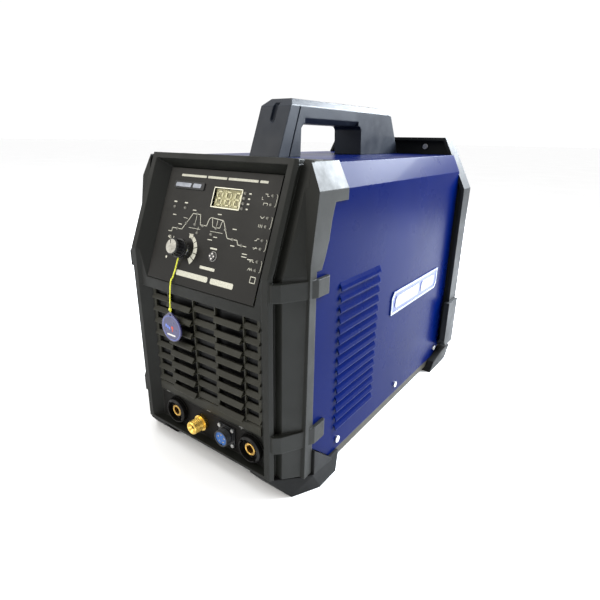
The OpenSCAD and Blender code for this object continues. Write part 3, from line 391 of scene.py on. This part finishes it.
def cap_metal():
    """Turned aluminium: fine curved lines centred on the knob and a scuffed, cloudy face."""
    s = Shader("cap_metal", metallic=0.85)
    normal = s.rounded(0.0004)[0]
    shift = s.node("ShaderNodeMapping")
    shift.inputs["Location"].default_value = -KNOB_AT
    s.link(s.coords, shift.inputs["Vector"])
    rings = s.node("ShaderNodeTexWave", wave_type="RINGS", rings_direction="X", Scale=700, Distortion=1.5)
    s.link(shift.outputs["Vector"], rings.inputs["Vector"])
    cloud = s.noise(210, 6, 0.75)
    tone = s.ramp(cloud, [(0.3, (0.19, 0.18, 0.16)), (0.62, (0.38, 0.37, 0.335))])
    roughness = s.spread(cloud, 0.3, 0.7, 0.46, 0.28)
    return s.finish(tone, roughness, s.bump(rings.outputs["Fac"], 0.00002, 0.5, normal))


def knob_plastic():
    black = (0.006, 0.006, 0.007)
    return moulded("knob_plastic", black, 0.28, 0.00001, 900, rub=3.0, edge=0.0005, specular=0.5)


def socket_blue():
    blue = (0.009, 0.075, 0.26)
    return moulded("socket_blue", blue, 0.4, 0.00002, 900, rub=1.5, edge=0.0004, specular=0.4)


def silver_plate():
    """Raised rim in satin silver over a blue sunk field, told apart by their height."""
    s = Shader("silver_plate", specular=0.5)
    normal = s.rounded(0.0003)[0]
    parts = s.node("ShaderNodeSeparateXYZ")
    s.link(s.coords, parts.inputs[0])
    side = s.math("ABSOLUTE", parts.outputs["X"], 0.0)
    field, rim = 0.12125, 0.1214
    raised = s.spread(side, field, rim, 0.0, 1.0)
    silver = s.ramp(s.noise(120, 4), [(0.3, (0.15, 0.165, 0.2)), (0.7, (0.24, 0.26, 0.3))])
    tone = s.mix(raised, (0.002, 0.016, 0.15), silver)
    s.link(s.spread(raised, 0, 1, 0, 0.55), s.bsdf.inputs["Metallic"])
    roughness = s.spread(s.noise(260, 3), 0.3, 0.7, 0.28, 0.4)
    return s.finish(tone, roughness, s.bump(s.noise(800, 2), 0.00001, 0.6, normal))


def satin_silver():
    s = Shader("satin_silver", metallic=0.55)
    normal = s.rounded(0.0003)[0]
    tone = s.ramp(s.noise(150, 4), [(0.3, (0.15, 0.16, 0.185)), (0.7, (0.24, 0.255, 0.29))])
    roughness = s.spread(s.noise(260, 3), 0.3, 0.7, 0.26, 0.4)
    lines = s.noise(1.0, 2, 0.5, s.stretched((900, 60, 900)))
    return s.finish(tone, roughness, s.bump(lines, 0.00001, 0.5, normal))


def badge_black():
    return moulded("badge_black", (0.012, 0.012, 0.012), 0.3, 0.00001, 900, rub=4.0, edge=0.0004)


def tag_plastic():
    """Cloudy violet plastic with a rubbed rim."""
    s = Shader("tag_plastic", specular=0.5, coat=0.2)
    normal, near = s.rounded(0.0005)
    body = s.ramp(s.noise(90, 4), [(0.3, (0.02, 0.018, 0.072)), (0.7, (0.036, 0.032, 0.112))])
    tone = s.mix(near, body, (0.17, 0.16, 0.3))
    roughness = s.spread(s.noise(140, 5), 0.3, 0.7, 0.24, 0.42)
    return s.finish(tone, roughness, s.bump(s.noise(300, 3), 0.00003, 0.4, normal))


def string_yarn():
    """Yellow cotton with fine fibres and a little sheen."""
    s = Shader("string_yarn", specular=0.2)
    s.bsdf.inputs["Sheen Weight"].default_value = 0.4
    fibre = s.noise(1800, 4, 0.7)
    yellows = [(0.25, (0.40, 0.40, 0.015)), (0.5, (0.62, 0.62, 0.04)), (0.8, (0.72, 0.74, 0.12))]
    tone = s.ramp(s.noise(420, 3), yellows)
    roughness = s.spread(fibre, 0.2, 0.8, 0.7, 0.9)
    return s.finish(tone, roughness, s.bump(fibre, 0.00012, 0.8))


def rocker_red():
    return moulded("rocker_red", (0.42, 0.012, 0.008), 0.25, 0.00001, 900, rub=1.4, edge=0.0006)


def circuit_green():
    return moulded("circuit_green", (0.012, 0.06, 0.025), 0.4, 0.00002, 600, rub=1.4, edge=0.0003)


def alloy():
    return turned("alloy", (0.6, 0.61, 0.62), 0.35, (60, 900, 900), 0.00002, 0.8)


def copper():
    return turned("copper", (0.66, 0.32, 0.17), 0.3, (300, 300, 300), 0.00003, 0.6)


def winding_enamel():
    s = Shader("winding_enamel", specular=0.5)
    turns = s.node("ShaderNodeTexWave", wave_type="BANDS", bands_direction="Z", Scale=220, Distortion=0.6)
    s.link(s.coords, turns.inputs["Vector"])
    # Painted shade: the darker stripes fall in the grooves between the turns; the paler stripes are the
    # wire's own colour.
    tone = s.ramp(turns.outputs["Fac"], [(0.2, (0.16, 0.06, 0.012)), (0.8, (0.46, 0.2, 0.05))])
    roughness = s.spread(s.noise(90, 3), 0.3, 0.7, 0.25, 0.4)
    return s.finish(tone, roughness, s.bump(turns.outputs["Fac"], 0.0003, 1.0))


def capacitor_sleeve():
    return moulded("capacitor_sleeve", (0.006, 0.01, 0.045), 0.3, 0.00001, 500, rub=1.6, edge=0.0006)


def floor_paper():
    s = Shader("floor_paper", specular=0.1)
    tone = s.ramp(s.noise(2.5, 4), [(0.3, (0.93, 0.93, 0.93)), (0.7, (0.96, 0.96, 0.96))])
    roughness = s.spread(s.noise(14, 3), 0.3, 0.7, 0.75, 0.9)
    return s.finish(tone, roughness, s.bump(s.noise(300, 2), 0.00005, 0.2))


# Dress the CAD nodes

DRESS = [
    (bezel_plastic, ["front_bezel"]),
    (grille_plastic, ["front_grille"]),
    (rear_plastic, ["rear_frame"]),
    (boot_plastic, ["front_boots", "rear_boots"]),
    (handle_plastic, ["handle_shell"]),
    (plain_black, ["handle_core", "rear_panel", "fan_guard", "fan_frame", "fan_rotor", "switch_body",
                   "cable_gland", "gas_hoses", "power_transistors", "transformer_core"]),
    (plate_black, ["connector_plate"]),
    (socket_phenolic, ["socket_shell_left", "socket_shell_right"]),
    (cover_paint, ["cover"]),
    (tray_paint, ["base_tray"]),
    (panel_film, ["control_plate"]),
    (clear_window, ["display_window"]),
    (display_face, ["display_module"]),
    (lamp_lens, ["panel_lamps"]),
    (badge_black, ["panel_badge"]),
    (circuit_green, ["control_board", "power_board"]),
    (zinc, ["encoder_body", "control_socket_screws", "cover_screws", "fence_screws", "handle_screws",
            "earth_bolt"]),
    (knob_plastic, ["knob", "menu_button"]),
    (cap_metal, ["knob_cap"]),
    (old_brass, ["socket_insert_left", "socket_insert_right", "socket_nuts"]),
    (brass, ["gas_outlet", "gas_outlet_nut", "gas_inlet", "gas_valve"]),
    (nickel, ["control_socket"]),
    (socket_blue, ["control_socket_insert"]),
    (gold_pin, ["control_socket_pins"]),
    (silver_plate, ["side_badge_right", "side_badge_left"]),
    (rocker_red, ["switch_rocker"]),
    (alloy, ["heat_sinks"]),
    (capacitor_sleeve, ["bus_capacitors"]),
    (winding_enamel, ["transformer_coil", "output_choke"]),
    (copper, ["output_busbars"]),
    (tag_plastic, ["swing_tag"]),
    (string_yarn, ["tag_string"]),
]
MATS = {}
for make, names in DRESS:
    MATS[make.__name__] = make()
    for name in names:
        NODES[name].data.materials.clear()
        NODES[name].data.materials.append(MATS[make.__name__])


# Mesh helpers

def piece(name, mesh, material, body, smooth=False):
    """Links a finished bmesh as a named object that rides on a body."""
    bmesh.ops.recalc_face_normals(mesh, faces=mesh.faces)
    data = bpy.data.meshes.new(name)
    mesh.to_mesh(data)
    mesh.free()
    made = bpy.data.objects.new(name, data)
    scene.collection.objects.link(made)
    data.materials.append(material)
    if smooth:
        data.shade_smooth()
    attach(made, body)
    return made


def prism(mesh, outline, place, low, high, taper=0.0):
    """A solid over an outline of flat points; place(a, b, height) puts them in the frame."""
    mid_a = sum(p[0] for p in outline) / len(outline)
    mid_b = sum(p[1] for p in outline) / len(outline)
    base = [mesh.verts.new(place(a, b, low)) for a, b in outline]
    top = []
    for a, b in outline:
        gap = math.hypot(a - mid_a, b - mid_b) or 1.0
        pull = 1 - taper / gap
        top.append(mesh.verts.new(place(mid_a + (a - mid_a) * pull, mid_b + (b - mid_b) * pull, high)))
    mesh.faces.new(top)
    mesh.faces.new(base[::-1])
    for i in range(len(outline)):
        k = (i + 1) % len(outline)
        mesh.faces.new((base[i], base[k], top[k], top[i]))


def stroke(mesh, points, width, place, low, high):
    """A line of even width along points, one solid for each of its runs, with blunt overlapping ends."""
    for (a0, b0), (a1, b1) in zip(points, points[1:]):
        run = math.hypot(a1 - a0, b1 - b0)
        ua, ub = (a1 - a0) / run, (b1 - b0) / run
        h = width / 2
        start = (a0 - ua * h * 0.8, b0 - ub * h * 0.8)
        end = (a1 + ua * h * 0.8, b1 + ub * h * 0.8)
        sides = [(start[0] - ub * h, start[1] + ua * h), (start[0] + ub * h, start[1] - ua * h),
                 (end[0] + ub * h, end[1] - ua * h), (end[0] - ub * h, end[1] + ua * h)]
        prism(mesh, sides, place, low, high)


def slab(a, b, w, h, lean=0.0):
    """Corners of a block centred on (a, b), leaning sideways by lean over its height, corners cut."""
    c = min(w, h) * 0.2
    flat = [(-w / 2, -h / 2 + c), (-w / 2 + c, -h / 2), (w / 2 - c, -h / 2), (w / 2, -h / 2 + c),
            (w / 2, h / 2 - c), (w / 2 - c, h / 2), (-w / 2 + c, h / 2), (-w / 2, h / 2 - c)]
    return [(a + x + lean * y / h, b + y) for x, y in flat]


def disc(a, b, r, n=16):
    return [(a + r * math.cos(2 * math.pi * k / n), b + r * math.sin(2 * math.pi * k / n)) for k in range(n)]


def bars(mesh, a, b, sizes, height, gap, place, low, high, lean=0.0):
    """A row of plain solid bars with gaps: stands where the original carries words."""
    at = a
    for w in sizes:
        prism(mesh, slab(at + w / 2, b, w, height, lean), place, low, high)
        at += w + gap


# Printed panel

def panel_print():
    ink_on = bmesh.new()
    low, high = -0.02, 0.07

    def line(points, width=0.55):
        stroke(ink_on, points, width, on_panel, low, high)

    def row(a, b, sizes, height, gap, lean=0.0):
        bars(ink_on, a, b, sizes, height, gap, on_panel, low, high, lean)

    # Plain bars where words are
    row(-59, 88, [38, 27, 39, 10], 2.4, 2.2)
    row(-1, -3, [21], 3.0, 1)
    row(-33.5, -14, [47, 31], 5.6, 4)
    row(7.4, 17.6, [9.6], 1.6, 1)
    # Little captions at the lamps and the curve
    for a, b in ((-61.5, 59), (-44.5, 59)):
        row(a, b, [4.6], 1.4, 1)
    for k in range(4):
        row(41.6, 75.5 - 5 * k, [3 - 0.5 * (k % 2)], 1.4, 1)
    for a, b in ((-59, 45), (-30, 52.5), (7, 52), (-26, 24), (8, 29), (31, 40), (-47, 36), (33, 24),
                 (58, 14.5)):
        row(a, b, [5.4], 0.9, 1)
    for a, b in ((-27, 27.6), (1, 25.6), (50, 18.6), (50, 15.9)):
        row(a, b, [6.4], 0.8, 1)
    # The welding cycle as one line, with its pulse
    line([(-60, 27), (-55, 27), (-55, 31), (-40, 31), (-33, 41), (-30, 46), (-28, 49), (-17, 49), (-15, 42),
          (-14, 38.6), (-5, 38.6), (-3, 46), (-1, 47.6), (2.6, 47.6)], 0.7)
    line([(1, 47.6), (3.6, 39.4), (5, 38.6), (14, 38.6), (15, 44), (16, 46.6)], 0.6)
    line([(1, 47.6), (16, 46.6), (18, 45), (22, 38), (26.4, 30.6), (28, 30), (40, 30), (42, 26),
          (53, 25.6)], 0.7)
    line([(-22, 47), (-22, 40)], 0.45)
    line([(9, 46), (9, 40)], 0.45)
    line([(-35, 43), (-41, 43.4)], 0.4)
    line([(-16, 33), (-16, 36)], 0.45)
    line([(-30, 34), (-13, 34)], 0.4)
    line([(2, 34), (19, 34)], 0.4)
    # Small generic signs in the right column, one in each row
    signs = [
        [[(-2.6, -1), (-1.3, 1), (0, -1), (1.3, 1), (2.6, -1)]],
        [[(-2.6, -1), (-1, -1), (-1, 1), (1, 1), (1, -1), (2.6, -1)]],
        [[(-2.4, 0), (2.4, 0)], [(-1.2, -1.2), (1.2, 1.2)]],
        [[(-2.4, -1), (-0.6, -1), (0.4, 1), (2.4, 1)]],
        [[(-2, -1.2), (-2, 1.2)], [(0, -1.2), (0, 1.2)], [(2, -1.2), (2, 1.2)]],
        [[(-2.4, 1), (0, -1), (2.4, 1)]],
        [[(-2.4, -1), (-2.4, 1), (2.4, 1), (2.4, -1)]],
        [[(-2.4, 1), (0.4, 1), (0.4, -1), (2.4, -1)]],
    ]
    rows = (6, 14, 26, 34, 47, 55, 67.5, 76)
    for spot, sign in zip(rows, signs):
        for run in sign:
            line([(64 + a, spot + b) for a, b in run], 0.5)
    for first, last in zip(rows[::2], rows[1::2]):
        line([(75.2, first - 1.5), (76.2, first), (76.2, last), (75.2, last + 1.5)], 0.4)
    line([(60, 71.6), (58.6, 71.6), (58.6, 74)], 0.4)
    # Marks by the knob and a plain square in the corner
    line([(-56.6, 19.4), (-55, 22.6), (-53.4, 19.4), (-56.6, 19.4)], 0.5)
    prism(ink_on, [(-58.6, 20.2), (-56.2, 20.2), (-57.4, 22.8)], on_panel, low, high)
    prism(ink_on, disc(-54, -1, 1.3), on_panel, low, high)
    line([(-49.4, 17), (-49.4, 22)], 0.7)
    line([(67, -6), (67, -0.4), (73, -0.4), (73, -6), (67, -6)], 0.7)
    # The knob's scale: six fields that grow wider round the knob
    first, last, fields = 84.0, -52.0, 6
    step = (last - first) / fields
    for k in range(fields):
        start, end = first + k * step - 1.5, first + (k + 1) * step + 1.5
        outer, inner = [], []
        for j in range(7):
            a = math.radians(start + (end - start) * j / 6)
            share = (k + j / 6) / fields
            for radius, ring in ((17.6, outer), (14.2 - 3.2 * share, inner)):
                ring.append((KNOB_AT.x / MM + radius * math.cos(a), KNOB_UP + radius * math.sin(a)))
        prism(ink_on, outer + inner[::-1], on_panel, low, high)
    piece("panel_print", ink_on, ink("print_ink", (0.5, 0.485, 0.4)), "case")


def badge_marks():
    """Two raised silver bars on the panel's strip."""
    marks = bmesh.new()
    mid = (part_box("panel_badge")[0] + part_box("panel_badge")[1]) / 2
    a0 = mid.x / MM
    b0 = (mid - ORIGIN).dot(UP) / MM
    lift = 1.18
    bars(marks, a0 - 20.5, b0, [24, 12], 4.4, 3, on_panel, lift, lift + 0.25, 0.8)
    piece("panel_badge_marks", marks, MATS["satin_silver"], "case")


def display_trim():
    """Bright rim round the window, the pale segments behind it and the darker fields between them."""
    low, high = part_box("display_window")
    a0, a1 = low.x / MM, high.x / MM
    mid = (low + high) / 2
    b0 = (mid - ORIGIN).dot(UP) / MM
    half_h = 10.3
    rim = bmesh.new()
    t = 0.9
    left, right = a0 - 0.2, a1 + 0.2
    sides = ((left, right, half_h - t, half_h), (left, right, -half_h, t - half_h),
             (left, left + t, -half_h, half_h), (right - t, right, -half_h, half_h))
    for c0, c1, d0, d1 in sides:
        prism(rim, [(c0, b0 + d0), (c1, b0 + d0), (c1, b0 + d1), (c0, b0 + d1)], on_panel, 0.42, 0.62)
    piece("display_rim", rim, ink("rim_ink", (0.82, 0.79, 0.62)), "case")
    cells = bmesh.new()
    w, h, t = 6.6, 13.4, 1.35
    pitch = 12.2
    seat, crown = -2.45, -1.86
    for d in (-1, 0, 1):
        x = (a0 + a1) / 2 + d * pitch
        for k in (-1, 0, 1):
            prism(cells, slab(x, b0 + k * h / 2, w - 1.5 * t, t), on_panel, seat, crown, 0.08)
        for side in (-1, 1):
            for k in (-1, 1):
                upright = slab(x + side * w / 2, b0 + k * h / 4, t, h / 2 - 1.5 * t)
                prism(cells, upright, on_panel, seat, crown, 0.08)
        prism(cells, disc(x + w / 2 + 1.7, b0 - h / 2, 0.75, 12), on_panel, seat, crown)
    piece("display_segments", cells, ink("segment_resin", (0.74, 0.71, 0.5)), "case")
    lines = bmesh.new()
    for d in (-1, 0, 1):
        x = (a0 + a1) / 2 + d * pitch
        for k in (-1, 1):
            box_w, box_h = w - 2.4 * t, h / 2 - 1.6 * t
            prism(lines, slab(x, b0 + k * h / 4, box_w, box_h), on_panel, -2.9, -2.7)
    piece("display_counters", lines, ink("counter_grey", (0.27, 0.25, 0.16)), "case")


def button_arrows():
    """Four small arrow heads round the menu key, and a ring round its foot."""
    low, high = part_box("menu_button")
    mid = (low + high) / 2
    a0 = mid.x / MM
    top = panel_top("menu_button")
    arrows = bmesh.new()
    for k in range(4):
        a = math.pi / 2 * k
        tip = (a0 + 3.9 * math.cos(a), KEY_UP + 3.9 * math.sin(a))
        feet = [(a0 + 2.2 * math.cos(a + s), KEY_UP + 2.2 * math.sin(a + s)) for s in (0.55, -0.55)]
        prism(arrows, [tip, *feet], on_panel, top - 0.02, top + 0.06)
    piece("menu_arrows", arrows, ink("arrow_ink", (0.74, 0.7, 0.66)), "menu_button")
    ring = bmesh.new()
    ring_of(ring, lambda x, y, z: on_panel(a0 + x, KEY_UP + y, 0.05 + z), 4.75, 0.45, 40, 8)
    piece("menu_ring", ring, ink("menu_ring_ink", (0.3, 0.29, 0.27)), "case", True)


def ring_of(mesh, place, radius, thick, n, m, flat=1.0):
    """A torus; place(x, y, z) puts a point of it in the frame."""
    rows = []
    for i in range(n):
        a = 2 * math.pi * i / n
        loop = []
        for j in range(m):
            b = 2 * math.pi * j / m
            r = radius + thick * math.cos(b)
            loop.append(mesh.verts.new(place(r * math.cos(a), r * math.sin(a), thick * flat * math.sin(b))))
        rows.append(loop)
    for i in range(n):
        for j in range(m):
            here, ahead = rows[i], rows[(i + 1) % n]
            mesh.faces.new((here[j], ahead[j], ahead[(j + 1) % m], here[(j + 1) % m]))


# Front sockets

def gas_thread():
    """Fine ridges on the outlet's barrel."""
    mid_x, mid_z, _ = front_mid("gas_outlet")
    ridges, first, pitch = 16, -6.2, 0.68
    thread = bmesh.new()
    for k in range(ridges):
        depth = first + k * pitch
        ring_of(thread, lambda x, y, z, d=depth: on_front(mid_x + x, mid_z + y, d + z), 7.42, 0.24, 64, 6)
    piece("gas_thread", thread, MATS["brass"], "case", True)


def socket_rims():
    """Bright lips and small keys in the power sockets, and ridges round the control socket."""
    for side, node in (("left", "socket_insert_left"), ("right", "socket_insert_right")):
        mid_x, mid_z, depth = front_mid(node)
        rim = bmesh.new()
        ring_of(rim, lambda x, y, z: on_front(mid_x + x, mid_z + y, depth + z), 5.9, 0.45, 48, 8, 0.8)
        piece("socket_rim_" + side, rim, MATS["brass"], "case", True)
        keys = bmesh.new()
        reach, seat = 10.6, 9.0
        for a in (0.6, 2.7, 4.8):
            here = (mid_x + reach * math.cos(a), mid_z + reach * math.sin(a))
            prism(keys, slab(*here, 3.0, 1.5), lambda x, z, h: on_front(x, z, seat - h), 0.0, 1.6, 0.15)
        piece("socket_keys_" + side, keys, MATS["socket_phenolic"], "case")
    mid_x, mid_z, _ = front_mid("control_socket")
    knurl = bmesh.new()
    for depth in (0.6, 1.8, 3.0, 4.2, 5.4):
        ring_of(knurl, lambda x, y, z, d=depth: on_front(mid_x + x, mid_z + y, d + z), 9.4, 0.4, 56, 6)
    piece("control_thread", knurl, MATS["nickel"], "case", True)


def socket_arcs():
    """Moulded collars over the sockets, and small plus and minus signs beside them."""
    collars = bmesh.new()
    for node, radius in (("socket_shell_left", 16.4), ("socket_shell_right", 16.2)):
        mid_x, mid_z, _ = front_mid(node)
        outer = [(mid_x + radius * math.cos(math.radians(a)), mid_z + radius * math.sin(math.radians(a)))
                 for a in range(20, 161, 7)]
        stroke(collars, outer, 1.1, lambda x, z, h: on_front(x, z, PLATE_Y - h), 0.0, 1.6)
    piece("socket_collars", collars, MATS["plate_black"], "case")
    signs = bmesh.new()

    def mark(points, width=0.7):
        stroke(signs, points, width, lambda x, z, h: on_front(x, z, PLATE_Y - h), 0.0, 0.25)

    mark([(-72, 64.6), (-66.6, 64.6)])
    mark([(-2, 64.6), (3.4, 64.6)])
    mark([(48, 64.6), (53.4, 64.6)])
    mark([(50.7, 62.4), (50.7, 66.8)])
    piece("socket_signs", signs, ink("sign_ink", (0.2, 0.2, 0.19)), "case")


def shade_screen():
    """Black sheet with shallow pleats behind the grille: painted shade, standing in for the dark behind the
    blades.
    """
    low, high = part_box("front_grille")
    x0, x1 = low.x / MM + 6, high.x / MM - 6
    z0, z1 = low.z / MM + 12, high.z / MM - 4
    pleats, depth, thick = 24, 15.1, 1.2
    rows = []
    screen = bmesh.new()
    for k in range(pleats * 2 + 1):
        z = z0 + (z1 - z0) * k / (pleats * 2)
        y = depth + 0.8 * (k % 2)
        corners = ((x0, 0), (x1, 0), (x1, thick), (x0, thick))
        rows.append([screen.verts.new(on_front(x, z, y + d)) for x, d in corners])
    for last, here in zip(rows, rows[1:]):
        for k in range(4):
            m = (k + 1) % 4
            screen.faces.new((last[k], last[m], here[m], here[k]))
    screen.faces.new(rows[0])
    screen.faces.new(rows[-1][::-1])
    piece("shade_screen", screen, MATS["plain_black"], "case")


# Side badges

def side_marks():
    """Two plain leaning bars in a frame on each side: the badge's own characters are left out."""
    for name, place in (("right", on_right), ("left", on_left)):
        marks = bmesh.new()
        front_end, middle = 220, 162
        bars(marks, front_end, middle, [74, 46], 15, 9, place, 0.9, 1.75, 2.6)
        piece("side_badge_marks_" + name, marks, MATS["satin_silver"], "case")


# Tag and string

def tenths(spot):
    """A spot rounded to the tenth of a millimetre, as the CAD's string is."""
    return on_front(round(spot.x / MM, 1), round(spot.z / MM, 1), round((spot.y - FRONT_Y) / MM, 1))


def string_route():
    """Once round the knob's neck, down along the panel, and free from its foot to the tag."""
    neck, sag, over = 4.6, 0.3, 4.3
    route = []
    for k in range(8):
        a = math.radians(20 + 45 * k)
        route.append(on_panel(KNOB_AT.x / MM + neck * math.sin(a), KNOB_UP - sag - neck * math.cos(a), over))
    for x, v, h in ((-30.9, 2.2, 3.7), (-31.9, -2, 3.0), (-32.8, -6.5, 2.3), (-33.7, -11.3, 1.75),
                    (-34.5, -16, 1.4), (-35.3, -20.8, 1.35)):
        route.append(on_panel(x, v, h))
    for x, y, z in ((-35.8, 2.0, 214.2), (-36.2, 0.6, 208.4), (-36.5, 0.1, 203.4), (-36.8, -0.4, 197.6),
                    (-37.0, -0.9, 191.6), (-37.1, -1.3, 185.6), (-37.2, -1.5, 177.5)):
        route.append(on_front(x, z, y))
    return [tenths(spot) for spot in route]


def spline_points(spots, share=6):
    """A smooth path through the spots, with share steps in each span."""
    path = []
    for i in range(len(spots) - 1):
        p0, p1 = spots[max(i - 1, 0)], spots[i]
        p2, p3 = spots[i + 1], spots[min(i + 2, len(spots) - 1)]
        for k in range(share):
            t = k / share
            path.append(0.5 * (2 * p1 + (p2 - p0) * t + (2 * p0 - 5 * p1 + 4 * p2 - p3) * t * t
                               + (3 * p1 - p0 - 3 * p2 + p3) * t * t * t))
    return path + [spots[-1]]


def yarn(mesh, path, radius, plies=2, turn=0.0042, sides=14):
    """A twisted tube along a path: each ply shows as a lobe that winds round the line."""
    along = 0.0
    side = Vector((1, 0.2, 0))
    last = None
    for i, spot in enumerate(path):
        ahead = (path[min(i + 1, len(path) - 1)] - path[max(i - 1, 0)]).normalized()
        side = (side - ahead * side.dot(ahead)).normalized()
        upward = ahead.cross(side)
        if i:
            along += (spot - path[i - 1]).length
        twist = 2 * math.pi * along / turn
        loop = []
        for k in range(sides):
            a = 2 * math.pi * k / sides
            r = radius * (0.80 + 0.2 * abs(math.cos(plies * (a - twist) / 2)))
            loop.append(mesh.verts.new(spot + (side * math.cos(a) + upward * math.sin(a)) * r))
        if last:
            for k in range(sides):
                mesh.faces.new((last[k], last[(k + 1) % sides], loop[(k + 1) % sides], loop[k]))
        else:
            mesh.faces.new(loop[::-1])
        last = loop
    mesh.faces.new(last)


def add_string():
    path = spline_points(string_route())
    twisted = bmesh.new()
    yarn(twisted, path, 0.00082)
    string = piece("tag_string_yarn", twisted, MATS["string_yarn"], "swing_tag", True)
    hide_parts("tag_string")
    knot = bmesh.new()
    low = path[-1]
    wound = []
    reach, start, rise, steps = 1.25, 3.0, 0.62, 15
    for k in range(4 * steps + 1):
        a = 2 * math.pi * k / steps
        wound.append(low + Vector((reach * math.cos(a), reach * math.sin(a), start + rise * k / steps)) * MM)
    yarn(knot, wound, 0.0005, 2, 0.003, 10)
    tied = piece("tag_knot", knot, MATS["string_yarn"], "swing_tag", True)


def tag_marks():
    """Generic print on the tag: a thin ring, three leaning strokes, a dot over a stem and one bar."""
    low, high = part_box("swing_tag")
    mid_x = (low.x + high.x) / 2 / MM
    face = (low.y - FRONT_Y) / MM
    mid_z = low.z / MM + 15.5

    def place(x, z, h):
        return on_front(mid_x + x, mid_z + z, face - h)

    pale = bmesh.new()
    bars(pale, -7.4, -8.2, [13.4], 1.8, 1, place, -0.03, 0.05)
    piece("tag_bars", pale, ink("tag_white", (0.68, 0.66, 0.62)), "swing_tag")
    blue = bmesh.new()
    for k in range(3):
        prism(blue, slab(-8.2 + 2.7 * k, 1.5 - 1.1 * k, 2.2, 3.6, 0.6), place, -0.03, 0.05)
    ring_of(blue, lambda x, y, z: place(x, y, z * 0.4), 13.9, 0.18, 64, 6)
    piece("tag_blue", blue, ink("tag_blue_ink", (0.13, 0.2, 0.62)), "swing_tag")
    red = bmesh.new()
    prism(red, disc(1.8, 0.6, 1.9, 20), place, -0.03, 0.05)
    prism(red, slab(1.8, -2.6, 1.4, 2.6), place, -0.03, 0.05)
    piece("tag_red", red, ink("tag_red_ink", (0.5, 0.06, 0.03)), "swing_tag")


# Knob pointer

def knob_pointer():
    top = panel_top("knob_cap")
    x0 = KNOB_AT.x / MM
    line = bmesh.new()
    a = math.radians(115)
    ends = [(x0 + r * math.cos(a), KNOB_UP + r * math.sin(a)) for r in (3.2, 6.4)]
    stroke(line, ends, 0.8, on_panel, top - 0.3, top + 0.03)
    piece("knob_pointer", line, MATS["plain_black"], "knob")
    lip = bmesh.new()
    ring_of(lip, lambda x, y, z: on_panel(x0 + x, KNOB_UP + y, top - 0.35 + z), 7.1, 0.32, 56, 8)
    piece("knob_lip", lip, MATS["cap_metal"], "knob", True)


MATS["satin_silver"] = satin_silver()
panel_print()
badge_marks()
display_trim()
button_arrows()
gas_thread()
socket_rims()
socket_arcs()
shade_screen()
side_marks()
add_string()
tag_marks()
knob_pointer()


# Studio

def add_floor():
    sheet = bmesh.new()
    bmesh.ops.create_grid(sheet, x_segments=8, y_segments=8, size=40)
    data = bpy.data.meshes.new("floor")
    sheet.to_mesh(data)
    sheet.free()
    floor = bpy.data.objects.new("floor", data)
    scene.collection.objects.link(floor)
    data.materials.append(floor_paper())


def soft_light(name, at, aim, size, power, tint=(1, 1, 1)):
    data = bpy.data.lights.new(name, "AREA")
    data.shape = "RECTANGLE"
    data.size, data.size_y = size
    data.energy = power
    data.color = tint
    lamp = bpy.data.objects.new(name, data)
    lamp.location = at
    lamp.rotation_euler = (Vector(aim) - Vector(at)).to_track_quat("-Z", "Y").to_euler()
    scene.collection.objects.link(lamp)


def add_studio():
    world = bpy.data.worlds.new("studio")
    scene.world = world
    world.use_nodes = True
    sky = world.node_tree.nodes["Background"]
    sky.inputs["Color"].default_value = (1.0, 1.0, 1.0, 1)
    sky.inputs["Strength"].default_value = 1.03
    soft_light("rear_right_softbox", (0.72, 1.32, 1.16), (0.11, -0.05, 0.32), (1.5, 0.8), 170,
               (0.86, 0.93, 1.0))
    soft_light("front_left_softbox", (-0.9, -1.4, 1.3), (0, -0.1, 0.2), (1.2, 1.2), 16, (1.0, 0.97, 0.9))
    soft_light("top_softbox", (0.1, 0.0, 1.8), (0, 0, 0), (1.6, 1.6), 14, (0.95, 0.97, 1.0))


add_floor()
add_studio()
